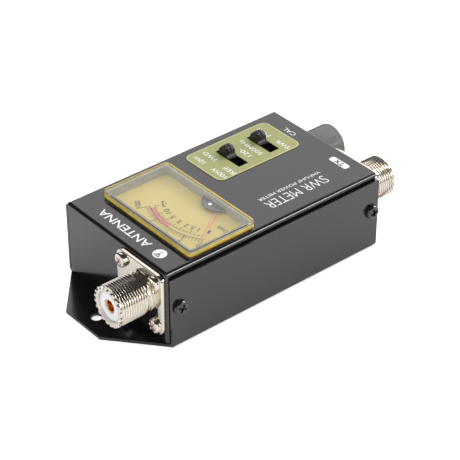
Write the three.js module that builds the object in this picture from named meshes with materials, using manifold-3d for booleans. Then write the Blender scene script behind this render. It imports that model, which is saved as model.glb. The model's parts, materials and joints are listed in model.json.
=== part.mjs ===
// A small in-line SWR and power meter for an amateur radio station, in millimetres.
// The origin is the middle of the underside of the box. +Z is up, and +Y points at the
// aerial socket. The dial and the lettering read upright from the transmitter end, at -Y.
import * as THREE from "three";
import { mergeVertices } from "three/addons/utils/BufferGeometryUtils.js";
import Module from "manifold-3d";

const wasm = await Module();
wasm.setup();

// ---- Driving dimensions -------------------------------------------------------------

// Folded steel box
const chassisWidth = 58.1; // outside of the folded top, along X
const chassisLength = 99.5; // outside of the two end plates, along Y
const boxHeight = 31.7; // underside of the bottom cover to the top panel
const sheet = 1.2; // steel thickness of chassis and cover
const endY = chassisLength / 2;
const sideX = chassisWidth / 2;
const midHeight = (boxHeight + sheet) / 2; // middle of the room inside the box
const bendRadius = 1.6; // outer radius of the chassis bends
const lipDepth = 3.6; // the long edges of the top fold down this far
const sideFlangeLength = 9; // the end plates' folded edges, along Y
const reliefWidth = 0.8; // slot that frees a lip from a side flange
const plateClearance = 0.3; // end plates end this far above the cover's floor

const coverGap = 0.57; // between a chassis lip and a cover wall
const coverInset = 0.9; // the cover's walls end this far inside the end plates
const coverWallDrop = 2.5; // from the top panel down to the cover walls' edges
const coverWallTop = boxHeight - coverWallDrop;
const coverBendRadius = 1.5;
const tabReach = 15.6; // a mounting tab's tip, beyond the end plate
const tabTipWidth = 20;
const tabHoleReach = 9.4; // a tab's hole, beyond the end plate
const tabHoleDiameter = 4.3;

// Screws
const threadRadius = 1.45;
const screwHole = 1.65; // radius of a clearance hole
const tappedHole = 1.55; // radius of a tapped hole
const headRadius = 2.8;
const headHeight = 1.9;
const crossWidth = 0.8;
const crossDepth = 1.0;
const caseScrewInset = 4.35; // case screws, inward from the end plates' outer faces
const caseScrewHeight = midHeight + 0.55;
const caseScrewLength = 3.3;
const flangeScrewLength = 5.4;

// Coaxial sockets, one on each end plate
const socketX = 13.45 - sideX;
const socketZ = midHeight + 0.95;
const socketFlangeWidth = 25.4; // one inch
const socketFlangeThickness = 1.6;
const socketFlangeCorner = 3;
const socketReach = 15.3; // front rim, beyond the end plate
const socketRadius = 7.94; // 5/8 inch thread
const socketBore = 5.9;
const socketBossRadius = 6.1; // behind the flange, through the end plate
const backingPlateThickness = 1.8;
const socketBossDepth = sheet + backingPlateThickness - 0.1;
const socketHoleClearance = 0.2;
const socketScrewSpacing = 18.2;
const insulatorRecess = 0.9;
const insulatorTailRadius = 3.6;
const insulatorTailReach = 1.4; // behind the boss
const contactRadius = 2.7;
const contactBore = 2.0;
const contactDepth = 12;
const contactFit = 0.05;
const solderTailRadius = 1.9;
const solderTailLength = 3;
const backingPlateWidth = 22.8;

// Meter
const windowLeftMargin = 2.35; // from the box's -X side
const windowRightMargin = 5.35; // from the box's +X side
const windowEndMargin = 12.45; // from the box's aerial end
const windowX = (windowLeftMargin - windowRightMargin) / 2;
const windowWidth = chassisWidth - windowLeftMargin - windowRightMargin;
const windowLength = 29.6;
const windowY = endY - windowEndMargin - windowLength / 2;
const windowCorner = 1.5;
const windowRise = 2.6; // above the top panel
const windowWall = 1.2;
const windowTopWall = 1.0;
const windowFit = 0.2; // between the window and its opening
const windowRim = 0.8; // rim that holds the window under the panel
const panelGap = 0.1; // between the panel and what is held under it
const dialDrop = 2.2; // dial surface, below the top of the panel
const dialThickness = 0.4;
const dialHoleRadius = 3;
const dialCorner = 1;
const pivotX = windowX - 2.4;
const pivotY = windowY - windowLength / 2 - 4.8;
const pointerTail = 5;
const pointerWidth = 0.9;
const pointerTipWidth = 0.5;
const pointerThickness = 0.3;
const pointerLift = 0.4; // above the dial
const hubRadius = 1.3;
const hubDrop = 0.2; // the pointer's hub, below the dial's face
const weightHalfWidth = 1.1;
const weightLength = 1.5;
const pointerRestAngle = 33.8; // degrees from +Y towards -X
const pointerSwing = 62; // degrees from zero to full scale
const pointerSideMargin = 4.6; // between the resting tip and the window's side wall
const pointerEndMargin = 2.7; // between the upright tip and the window's end wall
const pivotCoverX = pivotX - 2;
const pivotCoverY = pivotY + 3.8;
const pivotCoverRadius = 6.8;
const pivotCoverThickness = 0.6;
const pivotCoverLift = 0.3; // above the pointer
const zeroScrewY = pivotY + 8.4;
const zeroScrewRadius = 0.9;
const zeroScrewHeight = 0.4;
const caseTxEnd = pivotY - 9.5; // end of the meter case under the panel
const caseEndMargin = 0.9;
const caseWall = 1.2;
const caseFloor = 1.0;
const caseDepth = 3.9;
const yokeRadius = 7;
const yokeBore = 5.4;
const yokeHeight = 6.7;
const yokeFit = 0.3; // between the yoke and the well of the case
const wellWall = 0.9;
const bridgeThickness = 0.6;
const bridgeWidth = 4;
const bridgeGap = 0.3; // between the bridge and the dial
const coreRadius = 3.2;
const coilGap = 0.4; // between the coil and the core, and the coil and the yoke's ends
const coilBar = 1.1;
const coilThickness = 2;
const coilBarHeight = 0.8;
const coreArmHalfWidth = 0.8;
const coreArmFit = 0.1; // between the arms and the yoke
const hairspringTurns = 2.5;
const hairspringInner = 0.9;
const hairspringOuter = 2.7;
const hairspringHalfStrip = 0.12;
const hairspringHeight = 0.2;
const pivotPinRadius = 0.5;
const pivotPinClearance = 0.3;

// Switches and their label
const labelWidth = 21.8;
const labelLength = 40.1;
const labelSideMargin = 4.35; // from the box's +X side
const labelEndMargin = 8.95; // from the box's transmitter end
const labelX = sideX - labelSideMargin - labelWidth / 2;
const labelY = labelEndMargin + labelLength / 2 - endY;
const labelCorner = 3;
const labelThickness = 0.25;
const slotX = labelX - 0.6;
const slotLength = 13.7;
const slotWidth = 4.6;
const powerSwitchY = labelY + 5.95; // forward or reflected power
const modeSwitchY = labelY - 9.35; // power or SWR
const switchTravel = 5.6;
const sliderLength = 4.4;
const sliderFit = 0.15; // between a slider and its slot, each side
const sliderRise = 4.2; // above the top panel
const sliderDome = 1.6; // rise of the rounded top
const switchFrameLength = 24;
const switchFrameWidth = 10.4;
const switchFrameDepth = 7.7;
const switchFrameWall = 0.8;
const switchBaseThickness = 1.6;
const switchFit = 0.2;
const carriageLength = 12.6;
const terminalWidth = 1;
const terminalLength = 1.2;
const terminalSpacing = 6;
const boardThickness = 1.2;
const boardMargin = 2.6; // the control board, beyond the switch frames
const spacerRadius = 2.1;
const pegRadius = 1.2;
const pegHole = 1.3;

// Calibration control
const calX = sideX - 14.9;
const calZ = midHeight + 0.75;
const potRadius = 7.8;
const potDepth = 8;
const bushRadius = 3.5;
const bushReach = 4.2; // beyond the end plate
const bushHoleClearance = 0.15;
const shaftRadius = 3;
const shaftClearance = 0.1;
const knobRadius = 7.9;
const knobReach = 17.3; // front of the knob, beyond the end plate
const knobStandOff = 1.5;
const knobSkirtRadius = 6.3;
const knobEndWall = 3;
const knobEdge = 0.7;
const knobFit = 0.05;
const knobSkirtGap = 0.4; // between the bush's end and the hollow skirt's floor
const shaftTailLength = 2.7; // behind the end plate's inner face
const lugSpacing = 3.5;
const lugWidth = 1.8;
const lugThickness = 0.6;
const lugOffset = 2.5;
const lugLength = 3;
const knobMarkAngle = 24; // degrees from straight up, towards +X
const knobMarkWidth = 1.1;
const knobMarkDepth = 0.35;
const nutFlats = 10;
const nutThickness = 2;
const nutBore = 3.6;

// Directional coupler
const lineRadius = 1.6;
const troughWidth = 9.2;
const troughBelow = 5; // floor of the trough, below the line's axis
const troughGap = 0.3; // between the trough's rim and the meter's well
const troughSheet = 0.6;
const couplerBoardLength = chassisLength - 25.5;
const couplerBoardWidth = 7.6;
const couplerBoardThickness = 1;
const pickupWidth = 2;
const pickupLength = chassisLength - 47.5;
const pickupThickness = 0.3;
const componentRadius = 0.9;
const componentLength = 5;
const componentOffset = 2.6;
const wireRadius = 0.6;
const wireGap = 0.3;
const wireInset = 4; // a wire's end, inward from the switch frames' -X ends
const wireLead = 12.6; // the meter wire's end, beyond the edge of the meter case

// ---- Derived places -----------------------------------------------------------------

const innerEndY = endY - sheet;
const coverX = sideX + coverGap + sheet;
const coverEndY = endY - coverInset;
const panelUnder = boxHeight - sheet;
const plateBottom = sheet + plateClearance;
const dialTop = boxHeight - dialDrop;
const caseTop = dialTop - dialThickness;
const frameTop = panelUnder - panelGap; // of the window's rim and the switch frames
const pointerBottom = dialTop + pointerLift;
const pointerTop = pointerBottom + pointerThickness;
const pivotCoverBottom = pointerTop + pivotCoverLift;
const pivotCoverTop = pivotCoverBottom + pivotCoverThickness;
const yokeTop = caseTop - bridgeGap - bridgeThickness;
const yokeBottom = yokeTop - yokeHeight;
const frameBottom = frameTop - switchFrameDepth;
const boardTop = frameBottom - terminalLength;
const boardBottom = boardTop - boardThickness;
const socketTail = endY - socketBossDepth - insulatorTailReach - solderTailLength;
const backingY = innerEndY - backingPlateThickness;
const innerWindowX = windowX - windowWidth / 2 + windowWall;
const innerWindowY = windowY - windowLength / 2 + windowWall;
const restTurn = THREE.MathUtils.degToRad(pointerRestAngle);
const middleTurn = THREE.MathUtils.degToRad(pointerRestAngle - pointerSwing / 2);
const pointerLength = Math.min(
  (pivotX - innerWindowX - pointerSideMargin) / Math.sin(restTurn),
  windowY + windowLength / 2 - windowWall - pivotY - pointerEndMargin,
);
const wellBottom = yokeBottom - caseFloor;
const troughFloor = socketZ - troughBelow;
const troughRim = wellBottom - troughGap;

// ---- Shape helpers: each gives a closed solid ---------------------------------------

function toSolid(geometry) {
  const bare = geometry.index ? geometry.toNonIndexed() : geometry.clone();
  bare.deleteAttribute("normal");
  bare.deleteAttribute("uv");
  const merged = mergeVertices(bare, 1e-4);
  return new wasm.Manifold(
    new wasm.Mesh({
      numProp: 3,
      vertProperties: merged.attributes.position.array,
      triVerts: new Uint32Array(merged.index.array),
    }),
  );
}

function toGeometry(solid) {
  const mesh = solid.getMesh();
  const geometry = new THREE.BufferGeometry();
  geometry.setAttribute("position", new THREE.BufferAttribute(mesh.vertProperties, 3));
  geometry.setIndex(new THREE.BufferAttribute(mesh.triVerts, 1));
  geometry.computeVertexNormals();
  return geometry;
}

const join = (...solids) => solids.reduce((whole, next) => whole.add(next));
const cut = (solid, ...tools) => tools.reduce((rest, tool) => rest.subtract(tool), solid);

// A block between two corners.
function block(x0, x1, y0, y1, z0, z1) {
  const geometry = new THREE.BoxGeometry(x1 - x0, y1 - y0, z1 - z0);
  return toSolid(geometry.translate((x0 + x1) / 2, (y0 + y1) / 2, (z0 + z1) / 2));
}

// Turns a geometry made along +Z, or drawn in XY, so that it runs along another axis.
function turned(geometry, axis) {
  const basis = new THREE.Matrix4();
  const [x, y, z] = [0, 1, 2].map((i) => new THREE.Vector3().setComponent(i, 1));
  if (axis === "x") basis.makeBasis(y, z, x);
  if (axis === "y") basis.makeBasis(x, z, y.clone().negate());
  return geometry.applyMatrix4(basis);
}

// A shape drawn in the plane square to an axis, carried from one place on it to another.
// Across X it is drawn in (y, z), across Y in (x, z) and across Z in (x, y).
function prism(shape, axis, from, to, curveSegments = 6) {
  const settings = { depth: to - from, bevelEnabled: false, curveSegments };
  const geometry = turned(new THREE.ExtrudeGeometry(shape, settings), axis);
  if (axis === "x") geometry.translate(from, 0, 0);
  if (axis === "y") geometry.translate(0, to, 0);
  if (axis === "z") geometry.translate(0, 0, from);
  return toSolid(geometry);
}

function roundedRectangle(x, y, width, height, radius) {
  const [halfWidth, halfHeight] = [width / 2 - radius, height / 2 - radius];
  const shape = new THREE.Shape();
  shape.absarc(x + halfWidth, y + halfHeight, radius, 0, Math.PI / 2);
  shape.absarc(x - halfWidth, y + halfHeight, radius, Math.PI / 2, Math.PI);
  shape.absarc(x - halfWidth, y - halfHeight, radius, Math.PI, 1.5 * Math.PI);
  shape.absarc(x + halfWidth, y - halfHeight, radius, 1.5 * Math.PI, 2 * Math.PI);
  return shape;
}

function polygon(points) {
  return new THREE.Shape(points.map(([x, y]) => new THREE.Vector2(x, y)));
}

// A round rod between two places on an axis. across is its centre in the other two axes.
function rod(axis, radius, from, to, across, segments = 24) {
  const geometry = new THREE.CylinderGeometry(radius, radius, to - from, segments);
  if (axis === "x") geometry.rotateZ(Math.PI / 2).translate((from + to) / 2, ...across);
  if (axis === "y") geometry.translate(across[0], (from + to) / 2, across[1]);
  if (axis === "z") geometry.rotateX(Math.PI / 2).translate(...across, (from + to) / 2);
  return toSolid(geometry);
}

function hexagon(x, y, flats) {
  const corners = [];
  for (let i = 0; i < 6; i++) {
    const angle = (i * Math.PI) / 3;
    const reach = flats / 2 / Math.cos(Math.PI / 6);
    corners.push([x + reach * Math.cos(angle), y + reach * Math.sin(angle)]);
  }
  return polygon(corners);
}

// The pieces at the transmitter end mirror those at the aerial end.
const ends = [
  { name: "ant", sign: 1 },
  { name: "tx", sign: -1 },
];

// Mirrors a solid made for the aerial end, at +Y, to the end that sign names.
const atEnd = (solid, sign) => (sign > 0 ? solid : solid.mirror([0, 1, 0]));

function material(color, roughness, metalness) {
  return new THREE.MeshStandardMaterial({ color, roughness, metalness });
}

const root = new THREE.Group();

function addPiece(name, solid, finish) {
  const mesh = new THREE.Mesh(toGeometry(solid), finish());
  mesh.name = name;
  root.add(mesh);
}

// ---- Finishes -----------------------------------------------------------------------

const blackPaint = () => material(0x2b2a2d, 0.4, 0.1);
const blackSteel = () => material(0x1b1a19, 0.4, 0.6);
const nickel = () => material(0xd8cfbd, 0.25, 1.0);
const whiteResin = () => material(0xdfe3e6, 0.5, 0.0);
const gilt = () => material(0xc77a2c, 0.3, 1.0);
const clearResin = () => material(0xe8e6dc, 0.1, 0.0);
const creamCard = () => material(0xe3cf8f, 0.7, 0.0);
const redNeedle = () => material(0xd8705c, 0.5, 0.0);
const darkResin = () => material(0x4a5054, 0.4, 0.0);
const oliveLabel = () => material(0xbcc080, 0.6, 0.0);
const blackResin = () => material(0x161615, 0.5, 0.0);
const greyResin = () => material(0x6f7571, 0.5, 0.0);
const copper = () => material(0xb8703c, 0.35, 1.0);
const tinPlate = () => material(0xb9b7b0, 0.35, 1.0);
const ironBlack = () => material(0x3b3b3d, 0.5, 0.8);
const boardGreen = () => material(0x2f6b45, 0.5, 0.0);
const brownPhenolic = () => material(0x8a5a2e, 0.6, 0.0);
const glassBody = () => material(0xc9622f, 0.2, 0.0);
const redWire = () => material(0xa82a22, 0.5, 0.0);

// ---- Screw --------------------------------------------------------------------------

// A pan head screw with a cross recess. seat is where its head rests on the axis, and
// facing is the way its head looks.
function panScrew(axis, seat, across, facing, length) {
  const profile = [[0, -length]];
  profile.push([threadRadius, -length], [threadRadius, 0], [headRadius, 0]);
  profile.push([headRadius, 0.45 * headHeight], [0.86 * headRadius, 0.75 * headHeight]);
  profile.push([0.5 * headRadius, 0.95 * headHeight], [0, headHeight]);
  const turnedScrew = toSolid(
    new THREE.LatheGeometry(
      profile.map(([radius, along]) => new THREE.Vector2(radius, along)),
      16,
    ),
  );
  const reach = 1.3 * headRadius;
  const [bottom, top] = [headHeight - crossDepth, headHeight + 1];
  const cross = [
    block(-reach / 2, reach / 2, bottom, top, -crossWidth / 2, crossWidth / 2),
    block(-crossWidth / 2, crossWidth / 2, bottom, top, -reach / 2, reach / 2),
  ];
  const geometry = toGeometry(cut(turnedScrew, ...cross));
  if (facing < 0) geometry.rotateX(Math.PI);
  if (axis === "x") geometry.rotateZ(-Math.PI / 2).translate(seat, ...across);
  if (axis === "y") geometry.translate(across[0], seat, across[1]);
  return toSolid(geometry);
}

// ---- Box ----------------------------------------------------------------------------

function makeChassis() {
  const lengthProfile = new THREE.Shape();
  lengthProfile.moveTo(-endY, plateBottom).lineTo(endY, plateBottom);
  lengthProfile.absarc(endY - bendRadius, boxHeight - bendRadius, bendRadius, 0, Math.PI / 2);
  lengthProfile.absarc(
    bendRadius - endY,
    boxHeight - bendRadius,
    bendRadius,
    Math.PI / 2,
    Math.PI,
  );
  const widthProfile = new THREE.Shape();
  widthProfile.moveTo(-sideX, plateBottom).lineTo(sideX, plateBottom);
  widthProfile.absarc(sideX - bendRadius, boxHeight - bendRadius, bendRadius, 0, Math.PI / 2);
  widthProfile.absarc(
    bendRadius - sideX,
    boxHeight - bendRadius,
    bendRadius,
    Math.PI / 2,
    Math.PI,
  );
  const plan = roundedRectangle(0, 0, chassisWidth, chassisLength, bendRadius);
  let shell = prism(lengthProfile, "x", -sideX, sideX, 4)
    .intersect(prism(widthProfile, "y", -endY, endY, 4))
    .intersect(prism(plan, "z", plateBottom, boxHeight, 4));
  shell = cut(
    shell,
    block(sheet - sideX, sideX - sheet, -innerEndY, innerEndY, 0, panelUnder),
    block(
      -sideX - 1,
      sideX + 1,
      sideFlangeLength - endY,
      endY - sideFlangeLength,
      0,
      boxHeight - lipDepth,
    ),
  );
  const reliefTop = boxHeight - lipDepth;
  for (const side of [1, -1]) {
    const [x0, x1] = side > 0 ? [sideX - sheet, sideX + 1] : [-sideX - 1, sheet - sideX];
    for (const { sign } of ends) {
      const [y0, y1] = [endY - sideFlangeLength - 1, innerEndY];
      const slot = block(x0, x1, y0, y1, reliefTop - reliefWidth, reliefTop);
      shell = cut(shell, atEnd(slot, sign));
      const hole = rod(
        "x",
        tappedHole,
        x0,
        x1,
        [sign * (endY - caseScrewInset), caseScrewHeight],
        16,
      );
      shell = cut(shell, hole);
    }
  }
  return shell;
}

function socketScrewPlaces() {
  const half = socketScrewSpacing / 2;
  return [
    [socketX + half, socketZ + half],
    [socketX - half, socketZ + half],
    [socketX - half, socketZ - half],
    [socketX + half, socketZ - half],
  ];
}

function cutChassisOpenings(chassis) {
  const fit = 2 * windowFit;
  const meterOpening = roundedRectangle(
    windowX,
    windowY,
    windowWidth + fit,
    windowLength + fit,
    windowCorner + windowFit,
  );
  const tools = [prism(meterOpening, "z", panelUnder - 1, boxHeight + 1, 3)];
  for (const y of [powerSwitchY, modeSwitchY]) {
    tools.push(slotTool(y, panelUnder - 1, boxHeight + 1));
  }
  for (const { sign } of ends) {
    const plate = [sign * endY - 2, sign * endY + 2];
    const bossHole = socketBossRadius + socketHoleClearance;
    tools.push(rod("y", bossHole, ...plate, [socketX, socketZ]));
    for (const place of socketScrewPlaces()) {
      tools.push(rod("y", screwHole, ...plate, place, 16));
    }
  }
  const bushHole = bushRadius + bushHoleClearance;
  tools.push(rod("y", bushHole, -endY - 2, 2 - endY, [calX, calZ]));
  return cut(chassis, ...tools);
}

function slotTool(y, from, to) {
  return block(
    slotX - slotLength / 2,
    slotX + slotLength / 2,
    y - slotWidth / 2,
    y + slotWidth / 2,
    from,
    to,
  );
}

function makeBottomCover() {
  const outer = roundedRectangle(
    0,
    coverWallTop,
    2 * coverX,
    2 * coverWallTop,
    coverBendRadius,
  );
  const inner = roundedRectangle(
    0,
    coverWallTop,
    2 * (coverX - sheet),
    2 * (coverWallTop - sheet),
    coverBendRadius - sheet,
  );
  let cover = cut(
    prism(outer, "y", -coverEndY, coverEndY, 4),
    prism(inner, "y", -endY, endY, 2),
    block(-coverX - 1, coverX + 1, -endY, endY, coverWallTop, 3 * coverWallTop),
  );
  const tipY = endY + tabReach;
  const rootX = coverX - coverBendRadius;
  const halfTip = tabTipWidth / 2;
  for (const { sign } of ends) {
    const outline = polygon([
      [-rootX, coverEndY - 2],
      [rootX, coverEndY - 2],
      [rootX, coverEndY],
      [halfTip, tipY],
      [-halfTip, tipY],
      [-rootX, coverEndY],
    ]);
    const tab = prism(outline, "z", 0, sheet);
    const hole = rod("z", tabHoleDiameter / 2, -1, sheet + 1, [0, endY + tabHoleReach]);
    cover = cut(join(cover, atEnd(tab, sign)), atEnd(hole, sign));
    const screwY = sign * (endY - caseScrewInset);
    const across = [screwY, caseScrewHeight];
    cover = cut(cover, rod("x", screwHole, -coverX - 1, coverX + 1, across, 16));
  }
  return cover;
}

function addBox() {
  addPiece("chassis", cutChassisOpenings(makeChassis()), blackPaint);
  addPiece("bottom_cover", makeBottomCover(), blackPaint);
  let number = 1;
  for (const { sign } of ends) {
    for (const side of [1, -1]) {
      const across = [sign * (endY - caseScrewInset), caseScrewHeight];
      const screw = panScrew("x", side * coverX, across, side, caseScrewLength);
      addPiece(`case_screw_${number}`, screw, blackSteel);
      number += 1;
    }
  }
}

// ---- Coaxial sockets ----------------------------------------------------------------

// Each piece is made for the aerial end and mirrored for the transmitter end.
function makeSocketShell() {
  const flange = roundedRectangle(
    socketX,
    socketZ,
    socketFlangeWidth,
    socketFlangeWidth,
    socketFlangeCorner,
  );
  const face = endY + socketFlangeThickness;
  const centre = [socketX, socketZ];
  const solid = join(
    prism(flange, "y", endY, face, 3),
    rod("y", socketRadius, endY, endY + socketReach, centre, 40),
    rod("y", socketBossRadius, endY - socketBossDepth, endY, centre),
  );
  const tools = socketScrewPlaces().map((place) =>
    rod("y", screwHole, endY - 1, face + 1, place, 16),
  );
  tools.push(rod("y", socketBore, endY, endY + socketReach + 1, centre, 32));
  tools.push(
    rod("y", insulatorTailRadius + contactFit, endY - socketBossDepth - 1, endY, centre, 32),
  );
  return cut(solid, ...tools);
}

function makeSocketInsulator() {
  const centre = [socketX, socketZ];
  const front = endY + socketReach - insulatorRecess;
  const tailEnd = endY - socketBossDepth - insulatorTailReach;
  const solid = join(
    rod("y", socketBore - contactFit, endY, front, centre, 32),
    rod("y", insulatorTailRadius, tailEnd, endY, centre, 32),
  );
  return cut(
    solid,
    rod("y", contactRadius + contactFit, endY, front + 1, centre),
    rod("y", solderTailRadius + contactFit, tailEnd - 1, endY, centre),
  );
}

function makeSocketContact() {
  const centre = [socketX, socketZ];
  const front = endY + socketReach - insulatorRecess - 0.3;
  const solid = join(
    rod("y", contactRadius, endY, front, centre),
    rod("y", solderTailRadius, socketTail, endY, centre),
  );
  return cut(solid, rod("y", contactBore, front - contactDepth, front + 1, centre));
}

function makeBackingPlate() {
  const outline = roundedRectangle(
    socketX,
    socketZ,
    backingPlateWidth,
    backingPlateWidth,
    1,
  );
  const through = [backingY - 1, innerEndY + 1];
  const bossHole = socketBossRadius + socketHoleClearance;
  return cut(
    prism(outline, "y", backingY, innerEndY, 2),
    rod("y", bossHole, ...through, [socketX, socketZ]),
    ...socketScrewPlaces().map((place) => rod("y", tappedHole, ...through, place, 16)),
  );
}

function addSockets() {
  const face = endY + socketFlangeThickness;
  for (const { name, sign } of ends) {
    addPiece(`${name}_socket_shell`, atEnd(makeSocketShell(), sign), nickel);
    addPiece(`${name}_socket_insulator`, atEnd(makeSocketInsulator(), sign), whiteResin);
    addPiece(`${name}_socket_contact`, atEnd(makeSocketContact(), sign), gilt);
    addPiece(`${name}_backing_plate`, atEnd(makeBackingPlate(), sign), tinPlate);
    socketScrewPlaces().forEach((place, index) => {
      const screw = panScrew("y", face, place, 1, flangeScrewLength);
      addPiece(`${name}_flange_screw_${index + 1}`, atEnd(screw, sign), nickel);
    });
  }
}

// ---- Meter --------------------------------------------------------------------------

// Turns a solid drawn about the Z axis, pointing at +Y, and carries it to the pivot.
function atPivot(solid, angle) {
  const geometry = toGeometry(solid).rotateZ(angle).translate(pivotX, pivotY, 0);
  return toSolid(geometry);
}

// The room that the pointer sweeps where it passes under the window's near wall.
function sweepOpening(from, to) {
  const reach = innerWindowY - pivotY;
  const leftX = pivotX - reach * Math.tan(restTurn);
  const rightX = pivotX + reach * Math.tan(THREE.MathUtils.degToRad(pointerSwing) - restTurn);
  const outerY = innerWindowY - windowWall - windowRim - 1;
  const side = 2 * pointerWidth;
  return block(leftX - side, rightX + side, outerY, innerWindowY, from, to);
}

function makeWindow() {
  const outer = roundedRectangle(windowX, windowY, windowWidth, windowLength, windowCorner);
  const inner = roundedRectangle(
    windowX,
    windowY,
    windowWidth - 2 * windowWall,
    windowLength - 2 * windowWall,
    windowCorner - 0.8,
  );
  const rim = roundedRectangle(
    windowX,
    windowY,
    windowWidth + 2 * windowRim,
    windowLength + 2 * windowRim,
    windowCorner + windowRim,
  );
  const top = boxHeight + windowRise;
  return cut(
    join(prism(outer, "z", dialTop, top, 4), prism(rim, "z", dialTop, frameTop, 3)),
    prism(inner, "z", dialTop - 1, top - windowTopWall, 3),
    sweepOpening(dialTop - 1, pivotCoverBottom),
  );
}

function makePivotCover() {
  const disc = rod(
    "z",
    pivotCoverRadius,
    pivotCoverBottom,
    pivotCoverTop,
    [pivotCoverX, pivotCoverY],
    48,
  );
  const reach = pivotCoverRadius + 1;
  return cut(
    disc,
    block(
      pivotCoverX - reach,
      pivotCoverX + reach,
      pivotCoverY - reach,
      innerWindowY,
      pivotCoverBottom - 1,
      pivotCoverTop + 1,
    ),
  );
}

// The outline of the case and of the dial on top of it.
function meterOutline(inset) {
  const x0 = windowX - windowWidth / 2 - windowRim + inset;
  const x1 = windowX + windowWidth / 2 + windowRim - inset;
  const y0 = caseTxEnd + inset;
  const y1 = windowY + windowLength / 2 + caseEndMargin - inset;
  return roundedRectangle((x0 + x1) / 2, (y0 + y1) / 2, x1 - x0, y1 - y0, dialCorner);
}

function makeDial() {
  const hubHole = rod("z", dialHoleRadius, caseTop - 1, dialTop + 1, [pivotX, pivotY]);
  return cut(prism(meterOutline(0), "z", caseTop, dialTop, 3), hubHole);
}

function makePointer() {
  const taper = polygon([
    [-pointerWidth / 2, -pointerTail],
    [pointerWidth / 2, -pointerTail],
    [pointerTipWidth / 2, pointerLength],
    [-pointerTipWidth / 2, pointerLength],
  ]);
  const tailEnd = weightLength - pointerTail;
  return atPivot(
    join(
      prism(taper, "z", pointerBottom, pointerTop),
      block(-weightHalfWidth, weightHalfWidth, -pointerTail, tailEnd, pointerBottom, pointerTop),
      rod("z", hubRadius, dialTop - hubDrop, pointerTop, [0, 0], 16),
    ),
    restTurn,
  );
}

const coilTop = yokeTop - coilGap;
const coilBottom = yokeBottom + 2 * coilGap;
const coilInside = coreRadius + coilGap;
const coilOutside = coilInside + coilBar;

function makeMovingCoil() {
  const half = coilThickness / 2;
  const frame = cut(
    block(-half, half, -coilOutside, coilOutside, coilBottom, coilTop),
    block(
      -half - 1,
      half + 1,
      -coilInside,
      coilInside,
      coilBottom + coilBarHeight,
      coilTop - coilBarHeight,
    ),
  );
  const upperPin = rod("z", pivotPinRadius, coilTop, dialTop - hubDrop, [0, 0], 12);
  const lowerPin = rod("z", pivotPinRadius, yokeBottom + 0.1, coilBottom, [0, 0], 12);
  return atPivot(join(frame, upperPin, lowerPin), restTurn);
}

// A flat spiral strip: its radius grows steadily with the angle.
function makeHairspring() {
  const steps = 36;
  const inside = [];
  const outside = [];
  for (let i = 0; i <= steps; i++) {
    const angle = (i / steps) * hairspringTurns * 2 * Math.PI;
    const radius = hairspringInner + ((hairspringOuter - hairspringInner) * i) / steps;
    const [c, s] = [Math.cos(angle), Math.sin(angle)];
    const [near, far] = [radius - hairspringHalfStrip, radius + hairspringHalfStrip];
    inside.push([near * c, near * s]);
    outside.push([far * c, far * s]);
  }
  const bottom = yokeTop + bridgeThickness;
  const outline = polygon([...outside, ...inside.reverse()]);
  return atPivot(prism(outline, "z", bottom, bottom + hairspringHeight), 0);
}

function makeCore() {
  const [bottom, top] = [coilBottom + 2 * coilBarHeight, coilTop - 2 * coilBarHeight];
  const arm = yokeBore - coreArmFit;
  const [low, high] = [bottom + coilGap, top - coilGap];
  return atPivot(
    join(
      rod("z", coreRadius, bottom, top, [0, 0]),
      block(-arm, arm, -coreArmHalfWidth, coreArmHalfWidth, low, high),
    ),
    middleTurn,
  );
}

function makeYoke() {
  const centre = [pivotX, pivotY];
  return cut(
    rod("z", yokeRadius, yokeBottom, yokeTop, centre, 36),
    rod("z", yokeBore, yokeBottom - 1, yokeTop + 1, centre, 36),
  );
}

function makeBridge() {
  const bar = roundedRectangle(pivotX, pivotY, 2 * yokeRadius, bridgeWidth, 1);
  const top = yokeTop + bridgeThickness;
  const pinHole = pivotPinRadius + pivotPinClearance;
  return cut(
    prism(bar, "z", yokeTop, top, 3),
    rod("z", pinHole, yokeTop - 1, top + 1, [pivotX, pivotY], 16),
  );
}

function makeMeterCase() {
  const bottom = caseTop - caseDepth;
  const centre = [pivotX, pivotY];
  const wellInside = yokeRadius + yokeFit;
  const tray = join(
    prism(meterOutline(0), "z", bottom, caseTop, 3),
    rod("z", wellInside + wellWall, wellBottom, bottom + 0.5, centre, 36),
  );
  return cut(
    tray,
    prism(meterOutline(caseWall), "z", bottom + caseFloor, caseTop + 1, 3),
    rod("z", wellInside, yokeBottom, caseTop, centre, 36),
  );
}

function addMeter() {
  addPiece("meter_window", makeWindow(), clearResin);
  addPiece("meter_pivot_cover", makePivotCover(), darkResin);
  const screwTop = pivotCoverTop + zeroScrewHeight;
  const zeroScrew = rod(
    "z",
    zeroScrewRadius,
    pivotCoverTop,
    screwTop,
    [pivotCoverX, zeroScrewY],
    20,
  );
  addPiece("meter_zero_screw", zeroScrew, nickel);
  addPiece("meter_dial", makeDial(), creamCard);
  addPiece("meter_pointer", makePointer(), redNeedle);
  addPiece("meter_moving_coil", makeMovingCoil(), copper);
  addPiece("meter_hairspring", makeHairspring(), gilt);
  addPiece("meter_core", makeCore(), ironBlack);
  addPiece("meter_yoke", makeYoke(), ironBlack);
  addPiece("meter_bearing_bridge", makeBridge(), tinPlate);
  addPiece("meter_case", makeMeterCase(), blackResin);
}

// ---- Switches -----------------------------------------------------------------------

function centredBlock(x, y, length, width, z0, z1) {
  return block(x - length / 2, x + length / 2, y - width / 2, y + width / 2, z0, z1);
}

function makeSwitchFrame(y) {
  const insideLength = switchFrameLength - 2 * switchFrameWall;
  const insideWidth = switchFrameWidth - 2 * switchFrameWall;
  const ceiling = frameTop - switchFrameWall;
  return cut(
    centredBlock(slotX, y, switchFrameLength, switchFrameWidth, frameBottom, frameTop),
    centredBlock(slotX, y, insideLength, insideWidth, frameBottom - 1, ceiling),
    slotTool(y, ceiling - 1, frameTop + 1),
  );
}

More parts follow.
